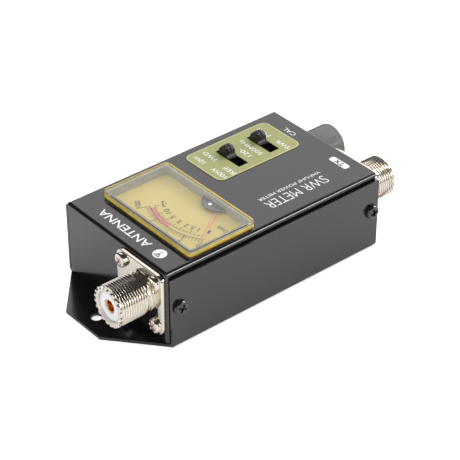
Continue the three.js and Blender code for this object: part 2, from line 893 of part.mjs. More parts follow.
function makeSwitchBase(y) {
  const length = switchFrameLength - 2 * (switchFrameWall + switchFit);
  const width = switchFrameWidth - 2 * (switchFrameWall + switchFit);
  const top = frameBottom + switchBaseThickness;
  const pieces = [centredBlock(slotX, y, length, width, frameBottom, top)];
  for (const column of [-1, 0, 1]) {
    for (const row of [-1, 1]) {
      const x = slotX + column * terminalSpacing;
      const terminalY = y + (row * width) / 4;
      pieces.push(
        centredBlock(x, terminalY, terminalWidth, 0.5 * terminalWidth, boardTop, frameBottom),
      );
    }
  }
  return join(...pieces);
}

// The slider at rest, at the +X end of its travel.
function makeSlider(y) {
  const x = slotX + switchTravel / 2;
  const width = slotWidth - 2 * sliderFit;
  const carriageWidth = switchFrameWidth - 2 * (switchFrameWall + switchFit);
  const carriageBottom = frameBottom + switchBaseThickness + switchFit;
  const carriageTop = frameTop - switchFrameWall - switchFit;
  const shoulder = boxHeight + sliderRise - sliderDome;
  const half = sliderLength / 2;
  const domeRadius = (half * half + sliderDome * sliderDome) / (2 * sliderDome);
  const halfAngle = Math.asin(half / domeRadius);
  const profile = new THREE.Shape();
  profile.moveTo(x - half, carriageTop - 0.5).lineTo(x + half, carriageTop - 0.5);
  profile.absarc(
    x,
    boxHeight + sliderRise - domeRadius,
    domeRadius,
    Math.PI / 2 - halfAngle,
    Math.PI / 2 + halfAngle,
  );
  profile.lineTo(x - half, shoulder);
  return join(
    centredBlock(x, y, carriageLength, carriageWidth, carriageBottom, carriageTop),
    prism(profile, "y", y - width / 2, y + width / 2, 5),
  );
}

const spacerPlaces = [-1, 1].map((side) => [
  slotX + (side * slotLength) / 2 + side * 1.5,
  (powerSwitchY + modeSwitchY) / 2,
]);

function makeControlBoard() {
  const halfWidth = switchFrameWidth / 2 + boardMargin;
  const x0 = slotX - switchFrameLength / 2 - 1;
  const x1 = slotX + switchFrameLength / 2 + 1;
  const board = block(
    x0,
    x1,
    modeSwitchY - halfWidth,
    powerSwitchY + halfWidth,
    boardBottom,
    boardTop,
  );
  return cut(
    board,
    ...spacerPlaces.map((place) => rod("z", pegHole, boardBottom - 1, boardTop + 1, place, 12)),
  );
}

function addSwitches() {
  const label = roundedRectangle(labelX, labelY, labelWidth, labelLength, labelCorner);
  const labelTop = boxHeight + labelThickness;
  const plate = cut(
    prism(label, "z", boxHeight, labelTop, 5),
    slotTool(powerSwitchY, boxHeight - 1, labelTop + 1),
    slotTool(modeSwitchY, boxHeight - 1, labelTop + 1),
  );
  addPiece("switch_label", plate, oliveLabel);
  for (const [name, y] of [
    ["power", powerSwitchY],
    ["mode", modeSwitchY],
  ]) {
    addPiece(`${name}_switch_frame`, makeSwitchFrame(y), tinPlate);
    addPiece(`${name}_switch_base`, makeSwitchBase(y), brownPhenolic);
    addPiece(`${name}_switch_slider`, makeSlider(y), blackResin);
  }
  addPiece("control_board", makeControlBoard(), boardGreen);
  spacerPlaces.forEach((place, index) => {
    const spacer = join(
      rod("z", spacerRadius, boardTop, panelUnder, place, 16),
      rod("z", pegRadius, boardBottom - 0.5, boardTop, place, 12),
    );
    addPiece(`board_spacer_${index + 1}`, spacer, tinPlate);
  });
}

// ---- Calibration control ------------------------------------------------------------

function addCalibration() {
  const centre = [calX, calZ];
  const face = -endY;
  const inside = -innerEndY;
  const bushEnd = face - bushReach;
  const potEnd = inside + potDepth;
  const shaftHoleEnd = inside + shaftTailLength + 0.3;
  const lugs = [-1, 0, 1].map((column) =>
    block(
      calX + lugSpacing * column - lugWidth / 2,
      calX + lugSpacing * column + lugWidth / 2,
      inside + lugOffset,
      inside + lugOffset + lugThickness,
      calZ - potRadius - lugLength,
      calZ - 0.8 * potRadius,
    ),
  );
  const body = cut(
    join(
      rod("y", potRadius, inside, potEnd, centre, 36),
      rod("y", bushRadius, bushEnd, inside, centre),
      ...lugs,
    ),
    rod("y", shaftRadius + shaftClearance, bushEnd - 1, shaftHoleEnd, centre, 32),
  );
  addPiece("cal_potentiometer", body, tinPlate);

  const knobFront = face - knobReach;
  const knobBack = face - knobStandOff;
  const shaftEnd = knobFront + knobEndWall;
  const shaft = rod("y", shaftRadius, shaftEnd, inside + shaftTailLength, centre, 32);
  addPiece("cal_shaft", shaft, tinPlate);

  const nut = cut(
    prism(hexagon(calX, calZ, nutFlats), "y", face - nutThickness, face),
    rod("y", nutBore, face - nutThickness - 1, face + 1, centre),
  );
  addPiece("cal_nut", nut, nickel);

  // The knob is turned about the Y axis, with its front face up, and then faces -Y.
  const depth = knobReach - knobStandOff;
  const skirtDepth = bushReach - knobStandOff + knobSkirtGap;
  const profile = [
    [0, depth - knobEndWall],
    [shaftRadius + knobFit, depth - knobEndWall],
    [shaftRadius + knobFit, skirtDepth],
    [knobSkirtRadius, skirtDepth],
    [knobSkirtRadius, 0],
    [knobRadius, 0],
    [knobRadius, depth - knobEdge],
    [knobRadius - knobEdge, depth],
    [0, depth],
  ].map(([radius, along]) => new THREE.Vector2(radius, along));
  const blank = toSolid(new THREE.LatheGeometry(profile, 36));
  const half = knobMarkWidth / 2;
  const markFloor = knobRadius - knobMarkDepth;
  const mark = block(-half, half, -1, depth + 1, markFloor, knobRadius + 1);
  const geometry = toGeometry(cut(blank, mark));
  geometry.rotateY(THREE.MathUtils.degToRad(-knobMarkAngle));
  geometry.rotateZ(Math.PI);
  addPiece("cal_knob", toSolid(geometry.translate(calX, knobBack, calZ)), greyResin);
}

// ---- Directional coupler and wiring -------------------------------------------------

function wire(points) {
  const route = new THREE.CatmullRomCurve3(points.map((p) => new THREE.Vector3(...p)));
  const section = new THREE.Shape().absarc(0, 0, wireRadius, 0, 2 * Math.PI);
  const settings = { extrudePath: route, steps: 18, curveSegments: 4, bevelEnabled: false };
  return toSolid(new THREE.ExtrudeGeometry(section, settings));
}

function addCoupler() {
  const line = rod("y", lineRadius, -socketTail, socketTail, [socketX, socketZ]);
  addPiece("line_conductor", line, copper);

  const inside = troughWidth - 2 * troughSheet;
  const boardBase = troughFloor + troughSheet;
  const trough = cut(
    centredBlock(socketX, 0, troughWidth, 2 * backingY, troughFloor, troughRim),
    centredBlock(socketX, 0, inside, 2 * backingY + 2, boardBase, troughRim + 1),
  );
  addPiece("coupler_trough", trough, tinPlate);

  const boardFace = boardBase + couplerBoardThickness;
  const board = centredBlock(
    socketX,
    0,
    couplerBoardWidth,
    couplerBoardLength,
    boardBase,
    boardFace,
  );
  addPiece("coupler_board", board, boardGreen);
  const pickup = centredBlock(
    socketX,
    0,
    pickupWidth,
    pickupLength,
    boardFace,
    boardFace + pickupThickness,
  );
  addPiece("pickup_line", pickup, copper);

  const componentZ = boardFace + componentRadius;
  ends.forEach(({ sign }, index) => {
    const from = sign > 0 ? pickupLength / 2 : -pickupLength / 2 - componentLength;
    const to = from + componentLength;
    const diodeX = socketX + componentOffset;
    const resistorX = socketX - componentOffset;
    const diode = rod("y", componentRadius, from, to, [diodeX, componentZ], 12);
    const resistor = rod("y", componentRadius, from, to, [resistorX, componentZ], 12);
    addPiece(`detector_diode_${index + 1}`, diode, glassBody);
    addPiece(`load_resistor_${index + 1}`, resistor, brownPhenolic);
  });
}

// Each wire leaves its first face and meets its last one square on.
function addWires() {
  const boardX = slotX - switchFrameLength / 2 + wireInset;
  const wallX = socketX + troughWidth / 2;
  const startX = wallX - troughSheet - wireGap - wireRadius;
  const startZ = troughFloor + troughSheet + couplerBoardThickness;
  const overWall = troughRim + wireRadius + wireGap;
  const forwardY = -(pickupLength / 2 + componentLength + 2 * wireRadius);
  for (const [name, y] of [
    ["forward_wire", forwardY],
    ["reflected_wire", powerSwitchY],
  ]) {
    const route = [
      [startX, y, startZ],
      [startX, y, startZ + 1],
      [startX, y, startZ + 2],
      [startX, y, overWall - 1.2],
      [wallX - 0.3, y, overWall + 0.5],
      [wallX + 3, y, overWall - 1.5],
      [boardX - 4, y, boardBottom - 4.5],
      [boardX, y, boardBottom - 2],
      [boardX, y, boardBottom - 1],
      [boardX, y, boardBottom],
    ];
    addPiece(name, wire(route), redWire);
  }
  const caseUnder = caseTop - caseDepth;
  const meterY = caseTxEnd + wireLead;
  const meterRoute = [
    [slotX, meterY, caseUnder],
    [slotX, meterY, caseUnder - 1],
    [slotX, meterY, caseUnder - 2],
    [slotX, caseTxEnd, boardBottom - 3.5],
    [slotX, powerSwitchY, boardBottom - 2],
    [slotX, powerSwitchY, boardBottom - 1],
    [slotX, powerSwitchY, boardBottom],
  ];
  addPiece("meter_wire", wire(meterRoute), redWire);
}

addBox();
addSockets();
addMeter();
addSwitches();
addCalibration();
addCoupler();
addWires();

export default root;
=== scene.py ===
# Looks of a small in-line SWR and power meter: a painted steel box with a clear window over
# the dial, two slide switches, a calibration knob and a coaxial socket at each end.
import json
import math

import bmesh
import bpy
import numpy as np
from mathutils import Matrix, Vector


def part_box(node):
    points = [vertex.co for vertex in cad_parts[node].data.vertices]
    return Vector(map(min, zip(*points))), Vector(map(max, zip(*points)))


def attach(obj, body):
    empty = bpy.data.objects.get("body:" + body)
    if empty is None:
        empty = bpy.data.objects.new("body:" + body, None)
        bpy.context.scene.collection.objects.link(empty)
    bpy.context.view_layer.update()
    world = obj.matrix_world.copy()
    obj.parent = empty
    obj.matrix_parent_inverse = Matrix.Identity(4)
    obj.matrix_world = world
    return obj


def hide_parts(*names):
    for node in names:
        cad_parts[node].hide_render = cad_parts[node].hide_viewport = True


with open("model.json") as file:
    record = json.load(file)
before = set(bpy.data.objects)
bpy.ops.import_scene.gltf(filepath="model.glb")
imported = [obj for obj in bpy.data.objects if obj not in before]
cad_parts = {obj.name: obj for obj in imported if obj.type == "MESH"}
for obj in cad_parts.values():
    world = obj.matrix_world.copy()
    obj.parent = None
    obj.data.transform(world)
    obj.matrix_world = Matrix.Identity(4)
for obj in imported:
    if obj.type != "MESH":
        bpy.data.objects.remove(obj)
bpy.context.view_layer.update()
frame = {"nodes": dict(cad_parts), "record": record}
mm = 0.001
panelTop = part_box("chassis")[1].z / mm
print("frame loaded")

# ---- camera: stands at the aerial end, to the left of the dial, looking down on the box
camera = {"lens": 139.94, "azimuth": 230.148, "elevation": 34.904, "roll": -0.069,
          "distance": 660.874, "aimRight": 2.199, "aimUp": -2.121, "aimHeight": 15.0}


def makeCamera():
    azimuth, elevation = math.radians(camera["azimuth"]), math.radians(camera["elevation"])
    back = np.array([math.sin(azimuth) * math.cos(elevation),
                     -math.cos(azimuth) * math.cos(elevation), math.sin(elevation)])
    right = np.cross(-back, (0, 0, 1))
    right /= np.linalg.norm(right)
    up = np.cross(right, -back)
    aim = right * camera["aimRight"] + up * camera["aimUp"] + (0, 0, camera["aimHeight"])
    place = (aim + back * camera["distance"]) * mm
    roll = math.radians(camera["roll"])
    across = right * math.cos(roll) + up * math.sin(roll)
    upward = up * math.cos(roll) - right * math.sin(roll)
    data = bpy.data.cameras.new("camera")
    data.lens, data.sensor_width = camera["lens"], 36.0
    data.clip_start, data.clip_end = 0.01, 10.0
    seen = bpy.data.objects.new("camera", data)
    bpy.context.scene.collection.objects.link(seen)
    turn = Matrix((across, upward, back)).transposed().to_4x4()
    seen.matrix_world = Matrix.Translation(place) @ turn
    bpy.context.scene.camera = seen


makeCamera()

# ---- shared shader node groups, all on Object coordinates


def newGroup(name, inputs, outputs):
    group = bpy.data.node_groups.new(name, "ShaderNodeTree")
    for label, kind, value in inputs:
        socket = group.interface.new_socket(label, in_out="INPUT", socket_type=kind)
        socket.default_value = value
    for label, kind in outputs:
        group.interface.new_socket(label, in_out="OUTPUT", socket_type=kind)
    start, end = group.nodes.new("NodeGroupInput"), group.nodes.new("NodeGroupOutput")
    return group, start, end


def mathNode(tree, operation, a, b=None):
    node = tree.nodes.new("ShaderNodeMath")
    node.operation = operation
    for index, value in enumerate((a, b)):
        if value is None:
            continue
        if isinstance(value, (int, float)):
            node.inputs[index].default_value = value
        else:
            tree.links.new(value, node.inputs[index])
    return node.outputs[0]


def noiseNode(tree, scale, detail, stretch=(1, 1, 1)):
    place = tree.nodes.new("ShaderNodeTexCoord")
    squeeze = tree.nodes.new("ShaderNodeMapping")
    squeeze.inputs["Scale"].default_value = stretch
    noise = tree.nodes.new("ShaderNodeTexNoise")
    noise.inputs["Detail"].default_value = detail
    tree.links.new(place.outputs["Object"], squeeze.inputs["Vector"])
    tree.links.new(squeeze.outputs["Vector"], noise.inputs["Vector"])
    if isinstance(scale, (int, float)):
        noise.inputs["Scale"].default_value = scale
    else:
        tree.links.new(scale, noise.inputs["Scale"])
    return noise.outputs[0]


def makeToneGroup():
    # colour times (1 + spread * (noise - 0.5) * 2), from one broad and one fine noise
    group, start, end = newGroup(
        "uneven tone",
        [("Color", "NodeSocketColor", (0.5, 0.5, 0.5, 1)), ("Spread", "NodeSocketFloat", 0.1),
         ("Scale", "NodeSocketFloat", 90.0)],
        [("Color", "NodeSocketColor")])
    broad = noiseNode(group, start.outputs["Scale"], 3.0)
    fine = noiseNode(group, mathNode(group, "MULTIPLY", start.outputs["Scale"], 14.0), 2.0)
    both = mathNode(group, "ADD", mathNode(group, "MULTIPLY", broad, 0.65),
                    mathNode(group, "MULTIPLY", fine, 0.35))
    centred = mathNode(group, "MULTIPLY", mathNode(group, "SUBTRACT", both, 0.5), 2.0)
    gain = mathNode(group, "ADD", mathNode(group, "MULTIPLY", centred, start.outputs["Spread"]), 1.0)
    scaled = group.nodes.new("ShaderNodeVectorMath")
    scaled.operation = "SCALE"
    group.links.new(start.outputs["Color"], scaled.inputs[0])
    group.links.new(gain, scaled.inputs["Scale"])
    group.links.new(scaled.outputs[0], end.inputs["Color"])
    return group


def makeGrainGroup():
    # roughness wanders about its middle, and height is a fine even grain
    group, start, end = newGroup(
        "fine grain",
        [("Scale", "NodeSocketFloat", 900.0), ("Roughness", "NodeSocketFloat", 0.4),
         ("Spread", "NodeSocketFloat", 0.08)],
        [("Roughness", "NodeSocketFloat"), ("Height", "NodeSocketFloat")])
    grain = noiseNode(group, start.outputs["Scale"], 2.0)
    wander = noiseNode(group, mathNode(group, "MULTIPLY", start.outputs["Scale"], 0.06), 4.0)
    shift = mathNode(group, "MULTIPLY", mathNode(group, "SUBTRACT", wander, 0.5), 2.0)
    rough = mathNode(group, "ADD", mathNode(group, "MULTIPLY", shift, start.outputs["Spread"]),
                     start.outputs["Roughness"])
    group.links.new(rough, end.inputs["Roughness"])
    group.links.new(grain, end.inputs["Height"])
    return group


def makeStreakGroup(name, stretch):
    # long thin streaks left by turning, drawing or brushing, across the squeezed axis
    group, start, end = newGroup(
        name, [("Scale", "NodeSocketFloat", 400.0)],
        [("Mask", "NodeSocketFloat"), ("Height", "NodeSocketFloat")])
    streak = noiseNode(group, start.outputs["Scale"], 3.0, stretch)
    group.links.new(mathNode(group, "SMOOTH_MIN", streak, 1.0), end.inputs["Mask"])
    group.links.new(streak, end.inputs["Height"])
    return group


def makeDustGroup():
    # a thin uneven veil that lies only on what faces up
    group, start, end = newGroup(
        "dust", [("Amount", "NodeSocketFloat", 0.1), ("Scale", "NodeSocketFloat", 260.0)],
        [("Mask", "NodeSocketFloat")])
    shape = group.nodes.new("ShaderNodeNewGeometry")
    parts = group.nodes.new("ShaderNodeSeparateXYZ")
    group.links.new(shape.outputs["Normal"], parts.inputs[0])
    upward = mathNode(group, "MAXIMUM", parts.outputs["Z"], 0.0)
    patchy = mathNode(group, "POWER", noiseNode(group, start.outputs["Scale"], 5.0), 2.0)
    veil = mathNode(group, "MULTIPLY", mathNode(group, "MULTIPLY", upward, patchy),
                    start.outputs["Amount"])
    group.links.new(veil, end.inputs["Mask"])
    return group


toneGroup = makeToneGroup()
grainGroup = makeGrainGroup()
dustGroup = makeDustGroup()
turnedGroup = makeStreakGroup("turned streaks", (0.25, 6.0, 0.25))
drawnGroup = makeStreakGroup("drawn streaks", (6.0, 0.2, 6.0))

# ---- materials


def placeGroup(tree, group, **values):
    node = tree.nodes.new("ShaderNodeGroup")
    node.node_tree = group
    for label, value in values.items():
        node.inputs[label].default_value = value
    return node


def makeFinish(name, color, rough, metal=0.0, ior=1.5, tone=0.08, toneScale=90.0, grain=900.0,
               roughSpread=0.06, bump=0.05, bumpDepth=0.00002, dust=0.0, streaks=None,
               streakScale=400.0, streakBump=0.2, coat=0.0, coatRough=0.1, sheen=0.0):
    material = bpy.data.materials.new(name)
    material.use_nodes = True
    tree = material.node_tree
    shader = tree.nodes["Principled BSDF"]
    shader.inputs["Metallic"].default_value = metal
    shader.inputs["IOR"].default_value = ior
    shader.inputs["Coat Weight"].default_value = coat
    shader.inputs["Coat Roughness"].default_value = coatRough
    shader.inputs["Sheen Weight"].default_value = sheen
    toned = placeGroup(tree, toneGroup, Color=(*color, 1), Spread=tone, Scale=toneScale)
    shade = toned.outputs["Color"]
    if dust:
        veil = placeGroup(tree, dustGroup, Amount=dust)
        blend = tree.nodes.new("ShaderNodeMix")
        blend.data_type = "RGBA"
        tree.links.new(veil.outputs["Mask"], blend.inputs["Factor"])
        tree.links.new(shade, blend.inputs["A"])
        blend.inputs["B"].default_value = (0.5, 0.48, 0.45, 1)
        shade = blend.outputs["Result"]
    tree.links.new(shade, shader.inputs["Base Color"])
    fine = placeGroup(tree, grainGroup, Scale=grain, Roughness=rough, Spread=roughSpread)
    tree.links.new(fine.outputs["Roughness"], shader.inputs["Roughness"])
    relief = tree.nodes.new("ShaderNodeBump")
    relief.inputs["Strength"].default_value = bump
    relief.inputs["Distance"].default_value = bumpDepth
    tree.links.new(fine.outputs["Height"], relief.inputs["Height"])
    normal = relief.outputs["Normal"]
    if streaks:
        lines = placeGroup(tree, streaks, Scale=streakScale)
        scored = tree.nodes.new("ShaderNodeBump")
        scored.inputs["Strength"].default_value = streakBump
        scored.inputs["Distance"].default_value = bumpDepth
        tree.links.new(lines.outputs["Height"], scored.inputs["Height"])
        tree.links.new(normal, scored.inputs["Normal"])
        normal = scored.outputs["Normal"]
    tree.links.new(normal, shader.inputs["Normal"])
    return material


def makeClearFinish(name, color, rough, ior):
    # clear plastic that lets plain light straight through to the dial
    material = bpy.data.materials.new(name)
    material.use_nodes = True
    tree = material.node_tree
    shader = tree.nodes["Principled BSDF"]
    shader.inputs["Base Color"].default_value = (*color, 1)
    shader.inputs["Transmission Weight"].default_value = 1.0
    shader.inputs["IOR"].default_value = ior
    fine = placeGroup(tree, grainGroup, Scale=500.0, Roughness=rough, Spread=0.02)
    tree.links.new(fine.outputs["Roughness"], shader.inputs["Roughness"])
    relief = tree.nodes.new("ShaderNodeBump")
    relief.inputs["Strength"].default_value = 0.02
    relief.inputs["Distance"].default_value = 0.00001
    tree.links.new(fine.outputs["Height"], relief.inputs["Height"])
    tree.links.new(relief.outputs["Normal"], shader.inputs["Normal"])
    path = tree.nodes.new("ShaderNodeLightPath")
    open_ = tree.nodes.new("ShaderNodeBsdfTransparent")
    open_.inputs["Color"].default_value = (0.97, 0.96, 0.93, 1)
    either = mathNode(tree, "MAXIMUM", path.outputs["Is Shadow Ray"], path.outputs["Is Diffuse Ray"])
    blend = tree.nodes.new("ShaderNodeMixShader")
    tree.links.new(either, blend.inputs["Fac"])
    tree.links.new(shader.outputs["BSDF"], blend.inputs[1])
    tree.links.new(open_.outputs["BSDF"], blend.inputs[2])
    tree.links.new(blend.outputs["Shader"], tree.nodes["Material Output"].inputs["Surface"])
    return material


finishes = {
    "black_paint": makeFinish("black paint", (0.0055, 0.0055, 0.0062), 0.16, ior=1.75, tone=0.2,
                              toneScale=60, grain=1500, bump=0.12, roughSpread=0.03,
                              dust=0.004),
    "matteBlack": makeFinish("matte black", (0.003, 0.003, 0.003), 0.8, ior=1.2, tone=0.2),
    "black_screw": makeFinish("blackened steel", (0.006, 0.006, 0.0058), 0.24, ior=1.8, tone=0.3,
                              toneScale=500, bump=0.2),
    "nickel": makeFinish("nickel plate", (0.80, 0.745, 0.66), 0.11, metal=1.0, tone=0.05,
                         toneScale=200, grain=1800, bump=0.1, roughSpread=0.05),
    "white_resin": makeFinish("white resin", (0.80, 0.83, 0.86), 0.38, tone=0.04, toneScale=300,
                              bump=0.15),
    "gilt": makeFinish("gilt contact", (0.88, 0.42, 0.10), 0.25, metal=1.0, tone=0.2,
                       toneScale=500, streaks=drawnGroup),
    "clear_resin": makeClearFinish("clear window", (0.98, 0.975, 0.95), 0.03, 1.49),
    "dark_resin": makeFinish("dark cover", (0.05, 0.06, 0.068), 0.2, tone=0.1, ior=1.55),
    "dial_card": makeFinish("dial card", (0.60, 0.48, 0.14), 0.6, tone=0.12, toneScale=35,
                            grain=3000, bump=0.2),
    "needle_red": makeFinish("needle paint", (0.86, 0.26, 0.16), 0.4, tone=0.08, toneScale=300),
    "copper": makeFinish("copper", (0.72, 0.36, 0.22), 0.3, metal=1.0, tone=0.15, toneScale=250,
                         streaks=drawnGroup),
    "black_iron": makeFinish("black iron", (0.06, 0.06, 0.065), 0.5, metal=0.8, tone=0.2,
                             toneScale=300),
    "tin_plate": makeFinish("tin plate", (0.55, 0.54, 0.51), 0.32, metal=1.0, tone=0.12,
                            toneScale=150, streaks=drawnGroup),
    "black_resin": makeFinish("black resin", (0.004, 0.004, 0.0038), 0.34, tone=0.2,
                              toneScale=300, bump=0.3, grain=1800),
    "olive_label": makeFinish("olive label", (0.325, 0.34, 0.13), 0.45, tone=0.12, toneScale=70,
                              grain=2200, bump=0.25, dust=0.05),
    "brown_phenolic": makeFinish("brown phenolic", (0.19, 0.08, 0.03), 0.5, tone=0.25,
                                 toneScale=350),
    "board_green": makeFinish("circuit board", (0.03, 0.15, 0.06), 0.35, tone=0.2, toneScale=250,
                              coat=0.4),
    "grey_resin": makeFinish("grey resin", (0.118, 0.128, 0.124), 0.34, tone=0.2, toneScale=150,
                             streaks=turnedGroup, streakScale=250, streakBump=0.3),
    "glass_body": makeFinish("glass body", (0.55, 0.16, 0.05), 0.12, tone=0.3, toneScale=600,
                             coat=1.0, coatRough=0.03),
    "wire_red": makeFinish("wire insulation", (0.38, 0.03, 0.02), 0.4, tone=0.1, toneScale=300),
    "whitePrint": makeFinish("white print", (0.86, 0.87, 0.88), 0.5, tone=0.05, toneScale=900),
    "blackPrint": makeFinish("black print", (0.035, 0.032, 0.03), 0.55, tone=0.2, toneScale=900),
    "redPrint": makeFinish("red print", (0.62, 0.13, 0.14), 0.5, tone=0.1, toneScale=500),
    # painted highlight along the switch label's edge
    "paleEdgeHighlight": makeFinish("pale painted highlight", (0.50, 0.52, 0.25), 0.5, tone=0.05, toneScale=500),
    # painted reflections in the window: gold for the dial's colour seen through the clear walls, grey
    # for the walls' shine
    "goldPaintedRefraction": makeFinish("gold painted refraction", (0.88, 0.66, 0.13), 0.45, tone=0.6, toneScale=260),
    "greyPaintedReflection": makeFinish("grey painted reflection", (0.28, 0.28, 0.235), 0.4, tone=0.5, toneScale=260),
}
for entry in frame["record"]["subparts"]:
    node = frame["nodes"][entry["node"]]
    node.data.materials.clear()
    node.data.materials.append(finishes[entry["material_slot"]])
print("materials made")

# ---- mesh makers: points are in millimetres in the row frame


def makePiece(name, vertices, faces, finish, body, replaced=(), sharp=40.0, closed=True):
    mesh = bpy.data.meshes.new(name)
    mesh.from_pydata((np.asarray(vertices) * mm).tolist(), [], faces)
    solid = bmesh.new()
    solid.from_mesh(mesh)
    bmesh.ops.remove_doubles(solid, verts=solid.verts, dist=2e-7)
    bmesh.ops.dissolve_degenerate(solid, edges=solid.edges, dist=1e-8)
    if closed:
        bmesh.ops.recalc_face_normals(solid, faces=solid.faces)
    limit = math.radians(sharp)
    for face in solid.faces:
        face.smooth = True
    for edge in solid.edges:
        edge.smooth = edge.calc_face_angle(0.0) < limit
    solid.to_mesh(mesh)
    solid.free()
    mesh.materials.append(finishes[finish])
    piece = bpy.data.objects.new(name, mesh)
    bpy.context.scene.collection.objects.link(piece)
    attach(piece, body)
    if replaced:
        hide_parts(*replaced)
    return piece


def gridFaces(rows, columns, wrapRows=False, wrapColumns=True, offset=0):
    # quads of a rows by columns grid of points, numbered row by row
    r = np.arange(rows if wrapRows else rows - 1)
    c = np.arange(columns if wrapColumns else columns - 1)
    r, c = np.meshgrid(r, c, indexing="ij")
    r2, c2 = (r + 1) % rows, (c + 1) % columns
    quads = np.stack([r * columns + c, r * columns + c2, r2 * columns + c2, r2 * columns + c], -1)
    return (quads.reshape(-1, 4) + offset).tolist()


def ringPoints(radius, along, turns):
    # each row of the profile is a ring: (radius cos turn, along, radius sin turn)
    radius, along, turns = np.broadcast_arrays(radius, along, turns)
    return np.stack([radius * np.cos(turns), along, radius * np.sin(turns)], -1)


def bent(start, end, centre, steps=5):
    # a quarter round from start to end about centre, both as (radius, along)
    t = np.linspace(0, math.pi / 2, steps)[:, None]
    centre = np.array(centre, float)
    return centre + (np.array(start) - centre) * np.cos(t) + (np.array(end) - centre) * np.sin(t)


def refine(node, edge, sharp=35.0, segments=2):
    # a merged copy of a CAD node with smooth bends and slightly broken edges
    source = frame["nodes"][node].data
    points = np.zeros(len(source.vertices) * 3)
    source.vertices.foreach_get("co", points)
    source.calc_loop_triangles()
    corners = np.zeros(len(source.loop_triangles) * 3, int)
    source.loop_triangles.foreach_get("vertices", corners)
    merged, index = np.unique(np.round(points.reshape(-1, 3) / mm, 4), axis=0, return_inverse=True)
    faces = index.reshape(-1)[corners].reshape(-1, 3)
    solid = bmesh.new()
    mesh = bpy.data.meshes.new(node + "_fine")
    mesh.from_pydata((merged * mm).tolist(), [], faces.tolist())
    solid.from_mesh(mesh)
    bmesh.ops.dissolve_limit(solid, angle_limit=math.radians(0.8), verts=solid.verts,
                             edges=solid.edges)
    for face in solid.faces:
        face.smooth = True
    for line in solid.edges:
        line.smooth = line.calc_face_angle(0.0) < math.radians(sharp)
    solid.to_mesh(mesh)
    solid.free()
    slot = next(e["material_slot"] for e in frame["record"]["subparts"] if e["node"] == node)
    mesh.materials.append(finishes[slot])
    piece = bpy.data.objects.new(node + "_fine", mesh)
    bpy.context.scene.collection.objects.link(piece)
    if edge:
        bevel = piece.modifiers.new("broken edges", "BEVEL")
        bevel.width, bevel.segments = edge * mm, segments
        bevel.limit_method, bevel.angle_limit = "ANGLE", math.radians(sharp)
        bevel.miter_outer = "MITER_ARC"
        weigh = piece.modifiers.new("even normals", "WEIGHTED_NORMAL")
        weigh.keep_sharp = False
    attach(piece, "case")
    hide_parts(node)
    return piece


# ---- box: folded sheet steel with paint over its edges
refine("chassis", 0.16)
refine("bottom_cover", 0.3, segments=3)
for node in ("switch_label", "meter_pivot_cover", "meter_zero_screw"):
    refine(node, 0.08)
refine("meter_window", 0.2, segments=3)
refine("meter_dial", 0.0)
print("box dressed")

# ---- screws: a pan head with a cross recess, worked out over a polar grid
screw = {"radius": 2.8, "height": 1.9, "armReach": 1.75, "armHalf": 0.42, "depth": 1.15,
         "rings": 34, "columns": 88}


def screwHead(name, node, axis, facing, turn, finish):
    # height = pan dome - recess, where the recess is the union of two crossed tapering slots
    low, high = (np.array(v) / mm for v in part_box(node))
    centre = (low + high) / 2
    tip = high[axis] if facing > 0 else low[axis]
    seat = tip - facing * screw["height"]
    t = np.linspace(0, 1, screw["rings"])[:, None]
    angle = np.linspace(0, 2 * math.pi, screw["columns"], endpoint=False)[None, :]
    radius = screw["radius"] * (1 - 0.0 * t) * t
    dome = screw["height"] * (1 - 0.22 * t ** 2.2 - 0.33 * np.clip((t - 0.82) / 0.18, 0, 1) ** 2.4)
    u, v = radius * np.cos(angle + turn), radius * np.sin(angle + turn)

    def slotDepth(along, across):
        half = screw["armHalf"] * (1.15 - 0.3 * np.abs(along) / screw["armReach"])
        inside = np.clip((half - np.abs(across)) / 0.12 + 0.5, 0, 1)
        reach = np.clip((screw["armReach"] - np.abs(along)) / 0.35, 0, 1)
        return inside * reach

    recess = np.maximum(slotDepth(u, v), slotDepth(v, u))
    recess *= screw["depth"] * (1 - 0.35 * t)
    height = dome - recess
    rim = np.full((1, screw["columns"]), screw["radius"])
    radius = np.vstack([radius + 0 * angle, rim, rim, rim * 0])
    height = np.vstack([height, rim * 0 + 0.2, rim * 0 + 0.02, rim * 0 + 0.02])
    a, b = radius * np.cos(angle), radius * np.sin(angle)
    out = seat + facing * height
    if axis == 0:
        points = np.stack([out, centre[1] + a, centre[2] + b], -1)
    else:
        points = np.stack([centre[0] + a, out, centre[2] + b], -1)
    rows, columns = radius.shape
    return makePiece(name, points.reshape(-1, 3), gridFaces(rows, columns), finish, "case",
                     (node,))


turns = [0.35, 1.1, 0.6, 0.2]
for number in range(1, 5):
    facing = 1 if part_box(f"case_screw_{number}")[0].x > 0 else -1
    screwHead(f"caseScrewHead{number}", f"case_screw_{number}", 0, facing, turns[number - 1],
              "black_screw")
    for end, side in (("ant", 1), ("tx", -1)):
        screwHead(f"{end}FlangeScrewHead{number}", f"{end}_flange_screw_{number}", 1, side,
                  turns[number - 1] + 0.5 * side, "nickel")
print("screws made")

# ---- coaxial sockets, made for the aerial end and mirrored to the other
socket = {"thread": 7.94, "pitch": 1.058, "depth": 0.62, "collar": 7.45, "bore": 5.9,
          "notches": 20, "notchDepth": 0.55, "notchFrom": 6.95, "threadStart": 2.3,
          "columns": 204, "perPitch": 12, "recess": 0.9, "flangeEdge": 0.35}


